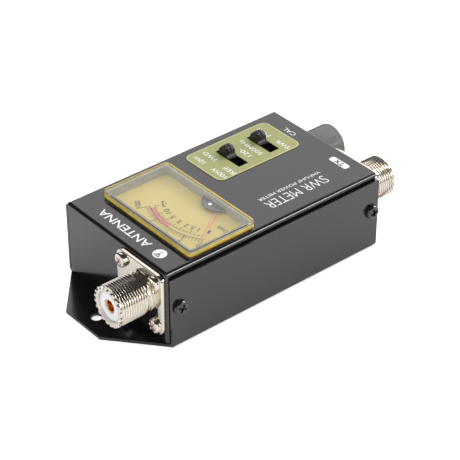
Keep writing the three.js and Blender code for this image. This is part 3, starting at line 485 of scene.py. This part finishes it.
def barrel(end, sign, centre, face, front):
    # a closed tube: bore wall, notched rim, helical V thread, smooth collar, back to the bore
    turnsRound = np.linspace(0, 2 * math.pi, socket["columns"], endpoint=False)[None, :]
    threadEnd = front - 0.75
    threadLow = face + socket["threadStart"]
    step = socket["pitch"] / socket["perPitch"]
    steps = int((threadEnd - threadLow) / step) - 1
    lead = turnsRound / (2 * math.pi) * socket["perPitch"]
    y = threadEnd - (np.arange(steps)[:, None] + 1 - lead % 1.0) * step
    phase = ((np.arange(steps)[:, None] + np.floor(lead)) / socket["perPitch"]) % 1.0
    fade = np.clip(np.minimum(threadEnd - y, y - threadLow) / 0.5, 0, 1)
    groove = socket["depth"] * np.clip((0.88 - np.abs(2 * phase - 1)) / 0.8, 0, 1) * fade
    threadRadius = socket["thread"] - groove
    rim = np.vstack([[socket["bore"], front - 2.2], [socket["bore"], front - 0.15],
                     bent((socket["bore"], front - 0.15), (socket["bore"] + 0.15, front),
                          (socket["bore"] + 0.15, front - 0.15), 4),
                     [6.5, front], [6.9, front], [7.0, front], [7.4, front],
                     bent((7.69, front), (7.94, front - 0.25), (7.69, front - 0.25), 5),
                     [7.94, front - 0.45], [7.94, front - 0.55], [7.94, front - 0.72]])
    rimRadius = rim[:, :1] + 0 * turnsRound
    rimAlong = rim[:, 1:] + 0 * turnsRound
    wave = np.cos(turnsRound * socket["notches"])
    notch = np.clip(wave * 2.2 + 0.2, 0, 1) * (rimRadius > socket["notchFrom"])
    notch = notch * (rimAlong > front - 0.5)
    rimAlong = rimAlong - socket["notchDepth"] * notch
    collar = np.array([[7.94, threadLow - 0.05], [7.90, threadLow - 0.2],
                       [socket["collar"], threadLow - 0.5],
                       [socket["collar"], face + 1.0], [socket["collar"], face + 0.5],
                       [socket["collar"] + 0.12, face + 0.12], [socket["collar"] + 0.4, face],
                       [socket["collar"] + 0.4, face - 0.05], [socket["bore"], face - 0.05]])
    radius = np.vstack([rimRadius, threadRadius, collar[:, :1] + 0 * turnsRound])
    along = np.vstack([rimAlong, y + 0 * turnsRound, collar[:, 1:] + 0 * turnsRound])
    points = ringPoints(radius, along, turnsRound)
    points = points * (1, sign, 1) + (centre[0], 0, centre[1])
    rows, columns = radius.shape
    faces = gridFaces(rows, columns, wrapRows=True)
    return makePiece(f"{end}SocketBarrel", points.reshape(-1, 3), faces, "nickel", "case",
                     (f"{end}_socket_shell",), sharp=60)


def flangePlate(end, sign, centre, low, face):
    # a rounded square outline shrunk towards its middle while it climbs the edge profile
    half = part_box(f"{end}_socket_shell")
    halfWidth = (half[1].x - half[0].x) / 2 / mm
    edge = socket["flangeEdge"]
    profile = np.vstack([[halfWidth, low], [0.12, low], [0.0, low + 0.12],
                         [0.0, face - edge], bent((0.0, face - edge), (edge, face),
                                                  (edge, face - edge), 5),
                         [3.0, face], [halfWidth, face]])
    corner, step = 3.0, 9
    quarter = np.linspace(0, math.pi / 2, step)
    angles = np.concatenate([quarter + k * math.pi / 2 for k in range(4)])
    signs = np.repeat([[1, 1], [-1, 1], [-1, -1], [1, -1]], step, axis=0)
    rows = []
    for inset, y in profile:
        radius = max(corner - inset, 0.0)
        middle = max(halfWidth - max(corner, inset), 0.0)
        x = signs[:, 0] * middle + radius * np.cos(angles)
        z = signs[:, 1] * middle + radius * np.sin(angles)
        rows.append(np.stack([centre[0] + x, sign * y + 0 * x, centre[1] + z], -1))
    points = np.array(rows)
    return makePiece(f"{end}SocketFlange", points.reshape(-1, 3),
                     gridFaces(*points.shape[:2]), "nickel", "case")


def insulator(end, sign, centre, face, front):
    # a resin plug with a shallow ring and a raised lip round the contact
    y = front - socket["recess"]
    profile = np.array([[0, face], [5.85, face], [5.85, y - 0.2], [5.78, y - 0.06], [5.6, y],
                        [4.6, y], [4.5, y - 0.12], [4.2, y - 0.12], [4.1, y], [3.1, y],
                        [2.95, y + 0.12], [2.8, y + 0.12], [2.75, y - 0.1], [2.75, y - 9],
                        [0, y - 9]])
    turnsRound = np.linspace(0, 2 * math.pi, 96, endpoint=False)[None, :]
    points = ringPoints(profile[:, :1], profile[:, 1:], turnsRound)
    points = points * (1, sign, 1) + (centre[0], 0, centre[1])
    return makePiece(f"{end}SocketInsulator", points.reshape(-1, 3),
                     gridFaces(len(profile), 96), "white_resin", "case",
                     (f"{end}_socket_insulator",))


def contact(end, sign, centre, front):
    # a gilt tube whose mouth is split in four: the rim drops back inside each slit
    y = front - socket["recess"] - 0.25
    count = 96
    turnsRound = np.linspace(0, 2 * math.pi, count, endpoint=False)[None, :]
    profile = np.vstack([[0, y - 2.4], [2.0, y - 3.4], [2.0, y - 0.3],
                         bent((2.0, y - 0.3), (2.3, y), (2.3, y - 0.3), 5),
                         bent((2.45, y), (2.68, y - 0.25), (2.45, y - 0.25), 5),
                         [2.68, y - 1.0], [2.68, y - 9.0], [0, y - 9.0]])
    radius, along = profile[:, :1] + 0 * turnsRound, profile[:, 1:] + 0 * turnsRound
    slit = np.abs(np.sin(2 * (turnsRound + 0.4))) < 0.16
    along = np.where(slit & (along > y - 1.2), y - 1.6, along)
    points = ringPoints(radius, along, turnsRound)
    points = points * (1, sign, 1) + (centre[0], 0, centre[1])
    return makePiece(f"{end}SocketContact", points.reshape(-1, 3),
                     gridFaces(*radius.shape), "gilt", "case",
                     (f"{end}_socket_contact",))


for end, sign in (("ant", 1), ("tx", -1)):
    low, high = (np.array(v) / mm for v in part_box(f"{end}_socket_shell"))
    centre = ((low[0] + high[0]) / 2, (low[2] + high[2]) / 2)
    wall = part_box("chassis")[1].y / mm
    face, front = wall + 1.6, max(abs(low[1]), abs(high[1]))
    barrel(end, sign, centre, face, front)
    flangePlate(end, sign, centre, wall, face)
    insulator(end, sign, centre, face, front)
    contact(end, sign, centre, front)
print("sockets made")

# ---- calibration knob: a turned body with one mark groove, on the shaft at the far end
knob = {"edge": 0.7, "markAngle": 24.0, "markWidth": 0.6, "markDepth": 0.36, "columns": 220,
        "flutes": (41, 67, 97), "fluteDepth": 0.06}


def calibrationKnob():
    # radius = profile radius - three overlaid waves of faint flutes - a narrow mark groove
    low, high = (np.array(v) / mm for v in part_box("cal_knob"))
    centre = ((low[0] + high[0]) / 2, (low[2] + high[2]) / 2)
    radius, back, front, edge = (high[0] - low[0]) / 2, -high[1], -low[1], knob["edge"]
    profile = np.vstack([[0, back + 3.2], [6.3, back + 3.2], [6.3, back], [radius - 0.3, back],
                         bent((radius - 0.3, back), (radius, back + 0.3),
                              (radius - 0.3, back + 0.3), 4),
                         np.stack([np.full(14, radius),
                                   np.linspace(back + 0.6, front - edge - 0.2, 14)], -1),
                         bent((radius, front - edge), (radius - edge, front),
                              (radius - edge, front - edge), 7),
                         [radius - 1.4, front], [radius - 1.9, front - 0.25],
                         [radius - 3.5, front - 0.3], [0, front - 0.25]])
    angle = np.linspace(0, 2 * math.pi, knob["columns"], endpoint=False)[None, :]
    r, y = profile[:, :1] + 0 * angle, profile[:, 1:] + 0 * angle
    outer = r > radius - 1.2
    mark = math.radians(90 - knob["markAngle"])
    away = (angle - mark + math.pi) % (2 * math.pi) - math.pi
    groove = np.exp(-((away * radius / knob["markWidth"]) ** 4)) * knob["markDepth"]
    flute = knob["fluteDepth"] * (1 + sum(np.cos(angle * n) for n in knob["flutes"]) / 3)
    r = np.where(outer, r - groove - flute, r)
    points = ringPoints(r, -y, angle) + (centre[0], 0, centre[1])
    makePiece("calibrationKnob", points.reshape(-1, 3), gridFaces(*r.shape),
              "grey_resin", "cal_control", ("cal_knob",))
    # the dark line in the groove, a thin bar that ends over the front edge
    out = np.array([math.cos(mark), 0, math.sin(mark)])
    side = np.array([-out[2], 0, out[0]]) * 0.42
    low, high = radius - knob["markDepth"] - 0.3, radius - 0.14
    bar = [out * r + side * s + (centre[0], -y, centre[1]) for y in (back + 0.4, front - 0.75)
           for r, s in ((low, -1), (high, -1), (high, 1), (low, 1))]
    faces = [[0, 1, 2, 3], [4, 5, 6, 7]] + [[i, (i + 1) % 4, 4 + (i + 1) % 4, 4 + i]
                                            for i in range(4)]
    makePiece("knobMark", bar, faces, "blackPrint", "cal_control", sharp=30)


calibrationKnob()

# ---- switch sliders: a ribbed thumb piece with a ramp at each end, on a flat carriage
slider = {"halfLength": 2.1, "ramp": 1.25, "rampHeight": 1.5, "dome": 1.3, "ridges": 4,
          "ridgeDepth": 0.2, "rows": 132, "columns": 72}


def switchSlider(name, node):
    # height over the panel = dome inside the thumb piece, a falling curve along each ramp,
    # and a lattice of thin raised lines on the top
    low, high = (np.array(v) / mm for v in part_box(node))
    centre = (low + high) / 2
    rise = high[2] - panelTop - slider["ridgeDepth"]
    half = slider["halfLength"]
    x = np.linspace(-half - slider["ramp"], half + slider["ramp"], slider["rows"])
    reach = np.clip(np.abs(x) / half, 0, 1)
    top = rise - slider["dome"] * reach ** 2.6
    past = np.clip((np.abs(x) - half) / slider["ramp"], 0, 1)
    ramp = slider["rampHeight"] * (1 - past) ** 2.2 + 0.05
    crest = np.where(np.abs(x) <= half, top, ramp)
    bars = 0.5 + 0.5 * np.cos(2 * math.pi * slider["ridges"] * (x + half) / (2 * half))
    floor = panelTop - 1.3
    width = 2.12
    side = np.linspace(-1, 1, slider["columns"])
    rounding = 1 - 0.11 * np.abs(side) ** 6
    lines = 0.5 + 0.5 * np.cos(2 * math.pi * 3 * (side + 1) / 2)
    grid = np.zeros((len(x), slider["columns"] + 2, 3))
    grid[:, :, 0] = x[:, None]
    grid[:, 1:-1, 1] = side * width
    grid[:, 0, 1], grid[:, -1, 1] = -width, width
    onTop = (np.abs(x) < half * 0.97)[:, None]
    lattice = slider["ridgeDepth"] * np.maximum(bars[:, None] ** 5, lines[None, :] ** 5) * onTop
    grid[:, 1:-1, 2] = panelTop + crest[:, None] * rounding[None, :] + lattice
    grid[:, 0, 2] = grid[:, -1, 2] = floor
    rows, columns = grid.shape[:2]
    ends = [np.repeat(grid[i].mean(0)[None], columns, 0)[None] for i in (0, -1)]
    grid = np.concatenate([ends[0], grid, ends[1]])
    points = grid.reshape(-1, 3) + (centre[0], centre[1], 0)
    faces = gridFaces(rows + 2, columns)
    # the carriage, a closed flat box under the slot
    plate = np.array([[sx, sy, z] for z in (low[2] + 0.05, floor + 0.05)
                      for sx, sy in ((low[0], low[1]), (high[0], low[1]),
                                     (high[0], high[1]), (low[0], high[1]))])
    sides = [[0, 1, 2, 3], [4, 5, 6, 7]]
    sides += [[i, (i + 1) % 4, 4 + (i + 1) % 4, 4 + i] for i in range(4)]
    body = node.replace("_switch", "")
    makePiece(name + "Carriage", plate, sides, "matteBlack", body, sharp=30)
    makePiece(name, points, faces, "black_resin", body, (node,))


switchSlider("powerSlider", "power_switch_slider")
switchSlider("modeSlider", "mode_switch_slider")
print("knob and sliders made")

# ---- needle: a thin tapering blade with a ridged back, and its hub
needle = {"pivot": (-3.9, 2.9), "restAngle": 33.8, "tail": -5.0, "tip": 30.4, "width": 0.85,
          "tipWidth": 0.42, "thickness": 0.28}


def needlePiece():
    # cross-sections are flattened ovals whose width tapers evenly from tail to tip
    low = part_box("meter_pointer")[0].z / mm + 0.6
    s = np.concatenate([np.linspace(needle["tail"], needle["tip"], 40)])
    share = (s - s[0]) / (s[-1] - s[0])
    width = needle["width"] * (1 - share) + needle["tipWidth"] * share
    width = np.where(s < needle["tail"] + 1.4, 2.2, width) / 2
    angle = np.linspace(0, 2 * math.pi, 12, endpoint=False)
    across = width[:, None] * np.cos(angle)
    height = needle["thickness"] / 2 * (1 + np.sin(angle)) + 0 * across
    grid = np.stack([across, s[:, None] + 0 * across, height], -1)
    ends = [np.repeat(grid[i].mean(0)[None], 12, 0)[None] for i in (0, -1)]
    grid = np.concatenate([ends[0], grid, ends[1]]).reshape(-1, 3)
    hubRows = np.array([[0, -0.55], [1.25, -0.55], [1.3, -0.4], [1.3, 0.25], [1.15, 0.32], [0, 0.32]])
    ring = np.linspace(0, 2 * math.pi, 32, endpoint=False)[None, :]
    hub = ringPoints(hubRows[:, :1], hubRows[:, 1:], ring)[..., [0, 2, 1]].reshape(-1, 3)
    points = np.vstack([grid, hub])
    faces = gridFaces(42, 12) + gridFaces(6, 32, offset=42 * 12)
    turn = math.radians(needle["restAngle"])
    c, d = math.cos(turn), math.sin(turn)
    x = points[:, 0] * c - points[:, 1] * d + needle["pivot"][0]
    y = points[:, 0] * d + points[:, 1] * c + needle["pivot"][1]
    placed = np.stack([x, y, points[:, 2] + low], -1)
    return makePiece("needle", placed, faces, "needle_red", "pointer",
                     ("meter_pointer",))


needlePiece()

# ---- printing: lettering made from text turned to mesh, and flat ribbons along curves; among them are painted reflections in the window and a painted highlight on the label's edge


def letterMesh(words, width, height, centre, angle, top, weight=0.0, thickness=0.02):
    # the words, stretched to width by height, turned by angle about Z and laid at height top
    curve = bpy.data.curves.new("letters", "FONT")
    curve.body = words
    curve.extrude = 0.01
    curve.offset = weight
    curve.resolution_u = 6
    holder = bpy.data.objects.new("letters", curve)
    bpy.context.scene.collection.objects.link(holder)
    bpy.context.view_layer.update()
    mesh = holder.to_mesh()
    points = np.zeros(len(mesh.vertices) * 3)
    mesh.vertices.foreach_get("co", points)
    points = points.reshape(-1, 3)
    faces = [list(p.vertices) for p in mesh.polygons]
    holder.to_mesh_clear()
    bpy.data.objects.remove(holder)
    bpy.data.curves.remove(curve)
    low, high = points.min(0), points.max(0)
    points = (points - (low + high) / 2) / (high - low) * (width, height, thickness)
    turn = math.radians(angle)
    x = points[:, 0] * math.cos(turn) - points[:, 1] * math.sin(turn) + centre[0]
    y = points[:, 0] * math.sin(turn) + points[:, 1] * math.cos(turn) + centre[1]
    return np.stack([x, y, points[:, 2] + top + thickness / 2], -1), faces


def ribbonMesh(path, halfWidth, top, closed, thickness=0.02):
    # a flat strip of even width that follows a path of points in the XY plane
    path = np.array(path, float)
    before = np.roll(path, 1, 0) if closed else np.vstack([path[:1], path[:-1]])
    after = np.roll(path, -1, 0) if closed else np.vstack([path[1:], path[-1:]])
    tangent = after - before
    tangent /= np.maximum(np.linalg.norm(tangent, axis=1, keepdims=True), 1e-9)
    side = np.stack([-tangent[:, 1], tangent[:, 0]], -1) * halfWidth
    low, high = np.full((len(path), 1), top), np.full((len(path), 1), top + thickness)
    rows = np.stack([np.hstack([path - side, low]), np.hstack([path - side, high]),
                     np.hstack([path + side, high]), np.hstack([path + side, low])], 1)
    if not closed:
        ends = [np.repeat(rows[i].mean(0)[None], 4, 0)[None] for i in (0, -1)]
        rows = np.concatenate([ends[0], rows, ends[1]])
    return rows.reshape(-1, 3), gridFaces(len(rows), 4, wrapRows=closed)


def roundedOutline(x, y, width, height, corner, step=8):
    quarter = np.linspace(0, math.pi / 2, step)
    angles = np.concatenate([quarter + k * math.pi / 2 for k in range(4)])
    signs = np.repeat([[1, 1], [-1, 1], [-1, -1], [1, -1]], step, axis=0)
    return np.stack([x + signs[:, 0] * (width / 2 - corner) + corner * np.cos(angles),
                     y + signs[:, 1] * (height / 2 - corner) + corner * np.sin(angles)], -1)


def fillMesh(outline, top, thickness=0.02):
    n = len(outline)
    points = np.vstack([np.hstack([outline, np.full((n, 1), z)]) for z in (top, top + thickness)])
    faces = [list(range(n)), list(range(n, 2 * n))]
    faces += [[i, (i + 1) % n, n + (i + 1) % n, n + i] for i in range(n)]
    return points, faces


def gather(name, parts, finish):
    vertices, faces = [], []
    for points, polygons in parts:
        start = sum(len(v) for v in vertices)
        vertices.append(points)
        faces += [[i + start for i in polygon] for polygon in polygons]
    return makePiece(name, np.vstack(vertices), faces, finish, "case", sharp=30)


def aerialMark(x, y, radius, top):
    # the drawing sign for an aerial: a mast with two arms
    stroke = 0.16
    mast = [(x, y - radius * 0.62), (x, y + radius * 0.62)]
    left = [(x - radius * 0.5, y + radius * 0.62), (x, y)]
    right = [(x + radius * 0.5, y + radius * 0.62), (x, y)]
    bar = [(x - radius * 0.5, y + radius * 0.62), (x + radius * 0.5, y + radius * 0.62)]
    return [ribbonMesh(line, stroke, top + 0.004 * i, False)
            for i, line in enumerate((mast, left, right, bar))]


def standingRing(outline, inner, low, high):
    # an upright closed wall between two outlines with the same number of points
    rows = [np.hstack([line, np.full((len(line), 1), z)])
            for line, z in ((outline, low), (outline, high), (inner, high), (inner, low))]
    return np.stack(rows, 1).reshape(-1, 3), gridFaces(len(outline), 4, wrapRows=True)


def paintedWindowReflection():
    # a painted reflection that stands just inside the window: gold outside for the dial's colour seen
    # through the clear walls, and grey inside for the shine on the walls
    low, high = (np.array(v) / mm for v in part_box("meter_window"))
    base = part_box("meter_dial")[1].z / mm + 0.02
    middle, size = (low + high) / 2, high - low
    outlines = [roundedOutline(middle[0], middle[1], size[0] - 2 * inset, size[1] - 2 * inset,
                               max(2.0 - inset, 0.3)) for inset in (1.3, 1.42, 1.5, 2.3)]
    gather("windowPaintedRefractionOuter", [standingRing(*outlines[:2], base, high[2] - 1.5)],
           "goldPaintedRefraction")
    gather("windowPaintedReflectionInner", [standingRing(*outlines[2:], base, high[2] - 1.2)],
           "greyPaintedReflection")


paintedWindowReflection()
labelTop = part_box("switch_label")[1].z / mm
panelPrint = {"lift": 0.012}
lift = panelPrint["lift"]
around = np.linspace(0, 2 * math.pi, 48, endpoint=False)
disc = np.stack([-18.1 + 2.6 * np.cos(around), 43.8 + 2.6 * np.sin(around)], -1)
gather("panelLettering", [
    letterMesh("ANTENNA", 28.2, 3.5, (2.2, 43.8), 0, panelTop + lift, 0.006),
    letterMesh("SWR METER", 28.4, 4.7, (-19.75, -18.0), 90, panelTop + lift, -0.012),
    letterMesh("VHF/UHF POWER METER", 29.6, 1.5, (-15.1, -18.5), 90, panelTop + lift),
    letterMesh("CAL", 6.2, 2.1, (13.1, -43.4), 0, panelTop + lift),
    fillMesh(roundedOutline(-15.25, -43.1, 9.2, 2.9, 0.9), panelTop + lift),
    fillMesh(disc, panelTop + lift),
], "whitePrint")
gather("panelDarkMarks", [
    letterMesh("TX", 4.5, 2.2, (-15.25, -43.1), 0, panelTop + lift + 0.025, 0.03),
    *aerialMark(-18.1, 43.8, 2.6, panelTop + lift + 0.025),
], "blackPrint")

# a pale ribbon just inside the label's edge: a painted highlight where the edge catches the light
low, high = (np.array(v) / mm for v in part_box("switch_label"))
rim = roundedOutline((low[0] + high[0]) / 2, (low[1] + high[1]) / 2, high[0] - low[0] - 0.7,
                     high[1] - low[1] - 0.7, 2.65)
gather("labelEdgeHighlight", [ribbonMesh(rim, 0.24, labelTop + lift, True)], "paleEdgeHighlight")
gather("labelLettering", [
    letterMesh("FWD", 7.0, 2.0, (18.9, -8.9), 0, labelTop + lift),
    letterMesh("10W", 5.8, 2.0, (19.5, -4.3), 0, labelTop + lift),
    letterMesh("REF", 5.9, 2.0, (6.75, -8.1), 0, labelTop + lift),
    letterMesh("100W", 7.9, 2.0, (7.9, -4.1), 0, labelTop + lift),
    letterMesh("120-", 6.2, 2.0, (12.4, -20.4), 0, labelTop + lift),
    letterMesh("500MHz", 12.6, 2.0, (13.7, -24.5), 0, labelTop + lift),
    letterMesh("SWR", 7.0, 2.0, (7.5, -35.2), 0, labelTop + lift),
    letterMesh("PWR", 7.2, 2.0, (18.8, -35.2), 0, labelTop + lift),
], "whitePrint")

# ---- dial scales: angles are from +Y towards -X about the needle's pivot
dial = {"pivot": (-3.9, 2.9), "line": 0.14, "innerLine": 0.1}
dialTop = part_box("meter_dial")[1].z / mm


def dialPoint(radius, degrees):
    turn = np.radians(degrees)
    return np.stack([dial["pivot"][0] - radius * np.sin(turn),
                     dial["pivot"][1] + radius * np.cos(turn)], -1)


def arcMesh(radius, start, end, halfWidth, lifted=0.012):
    return ribbonMesh(dialPoint(radius, np.linspace(start, end, 60)), halfWidth,
                      dialTop + lifted, False)


def tickMesh(inner, outer, degrees, halfWidth=0.1, lifted=0.016):
    radii = np.array([inner, (inner + outer) / 2, outer])
    return ribbonMesh(dialPoint(radii, degrees), halfWidth, dialTop + lifted, False)


gather("dialRedBand", [arcMesh(26.45, -26, 2.5, 0.85)], "redPrint")
outer = [tickMesh(27.3, 29.1, a, 0.14) for a in np.linspace(-26, 34, 25)]
longer = [tickMesh(27.3, 30.3, a, 0.16) for a in (-28, -10.5, 6.5, 20, 34)]
inner = [tickMesh(24.0, 25.7, a, 0.15) for a in (-28.5, -16.5, -6, 4, 11.5, 21.5, 33.5)]
small = [tickMesh(24.7, 25.7, a, 0.12) for a in (-12, -9, -2, 1, 7.5, 14.5, 18, 25.5, 29.5)]
numbers = [("∞", 3.9, 1.7, 22.2, -30), ("10", 3.1, 2.1, 22.3, -17), ("5", 1.5, 2.1, 22.3, -6),
           ("3", 1.5, 2.1, 22.3, 4), ("2", 1.5, 2.1, 22.3, 12.5), ("1.5", 3.4, 2.1, 22.3, 22),
           ("1", 1.0, 2.1, 22.3, 36), ("100", 5.0, 2.0, 31.6, -32), ("50", 2.9, 1.7, 31.6, -10.5),
           ("20", 2.9, 1.7, 31.6, 6.5), ("5", 1.3, 1.7, 31.6, 20), ("0", 1.3, 1.7, 31.4, 33)]
words = [letterMesh(text, w, h, dialPoint(r, a), a, dialTop + 0.014, 0.012)
         for text, w, h, r, a in numbers]
words.append(letterMesh("SWR", 4.8, 1.9, (-18.6, 16.2), 0, dialTop + 0.014, 0.012))
words.append(letterMesh("W", 2.2, 1.9, (-22.6, 25.0), 0, dialTop + 0.014, 0.012))
gather("dialScale", [arcMesh(27.35, -28, 35, dial["line"]), arcMesh(25.65, -28.5, 34, dial["innerLine"])]
       + outer + longer + inner + small + words, "blackPrint")
print("printing made")

# ---- floor, light and surroundings
studio = {"floor": 1.6, "sky": 1.0, "seen": 0.5, "keyPower": 5.0, "fillPower": 1.4,
          "screens": [((0.63, -0.53, 0.57), 0.82, 0.95, 0.05, 1.3),
                      ((0.03, -0.88, 0.47), 0.88, 0.94, 0.0, 3.2),
                      ((-0.88, 0.36, 0.31), 0.94, 0.98, 0.0, 2.5),
                      ((-0.785, -0.53, 0.32), 0.982, 0.992, 0.0, 9.0)]}


def makeFloor():
    size = studio["floor"]
    mesh = bpy.data.meshes.new("floor")
    mesh.from_pydata([(-size, -size, 0), (size, -size, 0), (size, size, 0), (-size, size, 0)],
                     [], [(0, 1, 2, 3)])
    floor = bpy.data.objects.new("floor", mesh)
    floor.location.z = -0.00002
    bpy.context.scene.collection.objects.link(floor)
    material = bpy.data.materials.new("pale floor")
    material.use_nodes = True
    shader = material.node_tree.nodes["Principled BSDF"]
    shader.inputs["Base Color"].default_value = (0.93, 0.93, 0.935, 1)
    shader.inputs["Roughness"].default_value = 0.9
    shader.inputs["Specular IOR Level"].default_value = 0.1
    shader.inputs["Emission Color"].default_value = (1, 1, 1, 1)
    path = material.node_tree.nodes.new("ShaderNodeLightPath")
    seen = mathNode(material.node_tree, "MULTIPLY", path.outputs["Is Camera Ray"], studio["seen"])
    material.node_tree.links.new(seen, shader.inputs["Emission Strength"])
    mesh.materials.append(material)


def addSoftbox(name, place, aim, size, power, color=(1, 1, 1)):
    data = bpy.data.lights.new(name, "AREA")
    data.shape, data.size, data.energy, data.color = "DISK", size, power, color
    lamp = bpy.data.objects.new(name, data)
    bpy.context.scene.collection.objects.link(lamp)
    away = np.array(place, float) - np.array(aim, float)
    away /= np.linalg.norm(away)
    side = np.cross((0, 0, 1), away)
    side /= np.linalg.norm(side)
    turn = Matrix((side, np.cross(away, side), away)).transposed().to_4x4()
    lamp.matrix_world = Matrix.Translation(place) @ turn


def makeSky():
    # even white for soft light, but bright things mirror a dark room with one wide pale screen
    world = bpy.data.worlds.new("studio")
    world.use_nodes = True
    bpy.context.scene.world = world
    tree = world.node_tree
    background = tree.nodes["Background"]
    place = tree.nodes.new("ShaderNodeTexCoord")
    strengths = []
    for aim, start, full, low, high in studio["screens"]:
        facing = tree.nodes.new("ShaderNodeVectorMath")
        facing.operation = "DOT_PRODUCT"
        facing.inputs[1].default_value = aim
        tree.links.new(place.outputs["Generated"], facing.inputs[0])
        spread = tree.nodes.new("ShaderNodeMapRange")
        spread.interpolation_type = "SMOOTHSTEP"
        for label, value in zip(("From Min", "From Max", "To Min", "To Max"),
                                (start, full, low, high)):
            spread.inputs[label].default_value = value
        tree.links.new(facing.outputs["Value"], spread.inputs["Value"])
        strengths.append(spread.outputs["Result"])
    mirrored = strengths[0]
    for other in strengths[1:]:
        mirrored = mathNode(tree, "ADD", mirrored, other)
    path = tree.nodes.new("ShaderNodeLightPath")
    pick = tree.nodes.new("ShaderNodeMix")
    tree.links.new(path.outputs["Is Glossy Ray"], pick.inputs["Factor"])
    pick.inputs["A"].default_value = studio["sky"]
    tree.links.new(mirrored, pick.inputs["B"])
    tree.links.new(pick.outputs["Result"], background.inputs["Strength"])
    background.inputs["Color"].default_value = (1, 1, 1, 1)


makeFloor()
makeSky()
addSoftbox("key", (-0.15, -0.95, 0.6), (0, 0, 0), 0.4, studio["keyPower"])
addSoftbox("fill", (-0.4, 1.1, 0.5), (0, 0, 0), 0.4, studio["fillPower"])
bpy.context.scene.view_settings.view_transform = "Standard"
print("studio made")
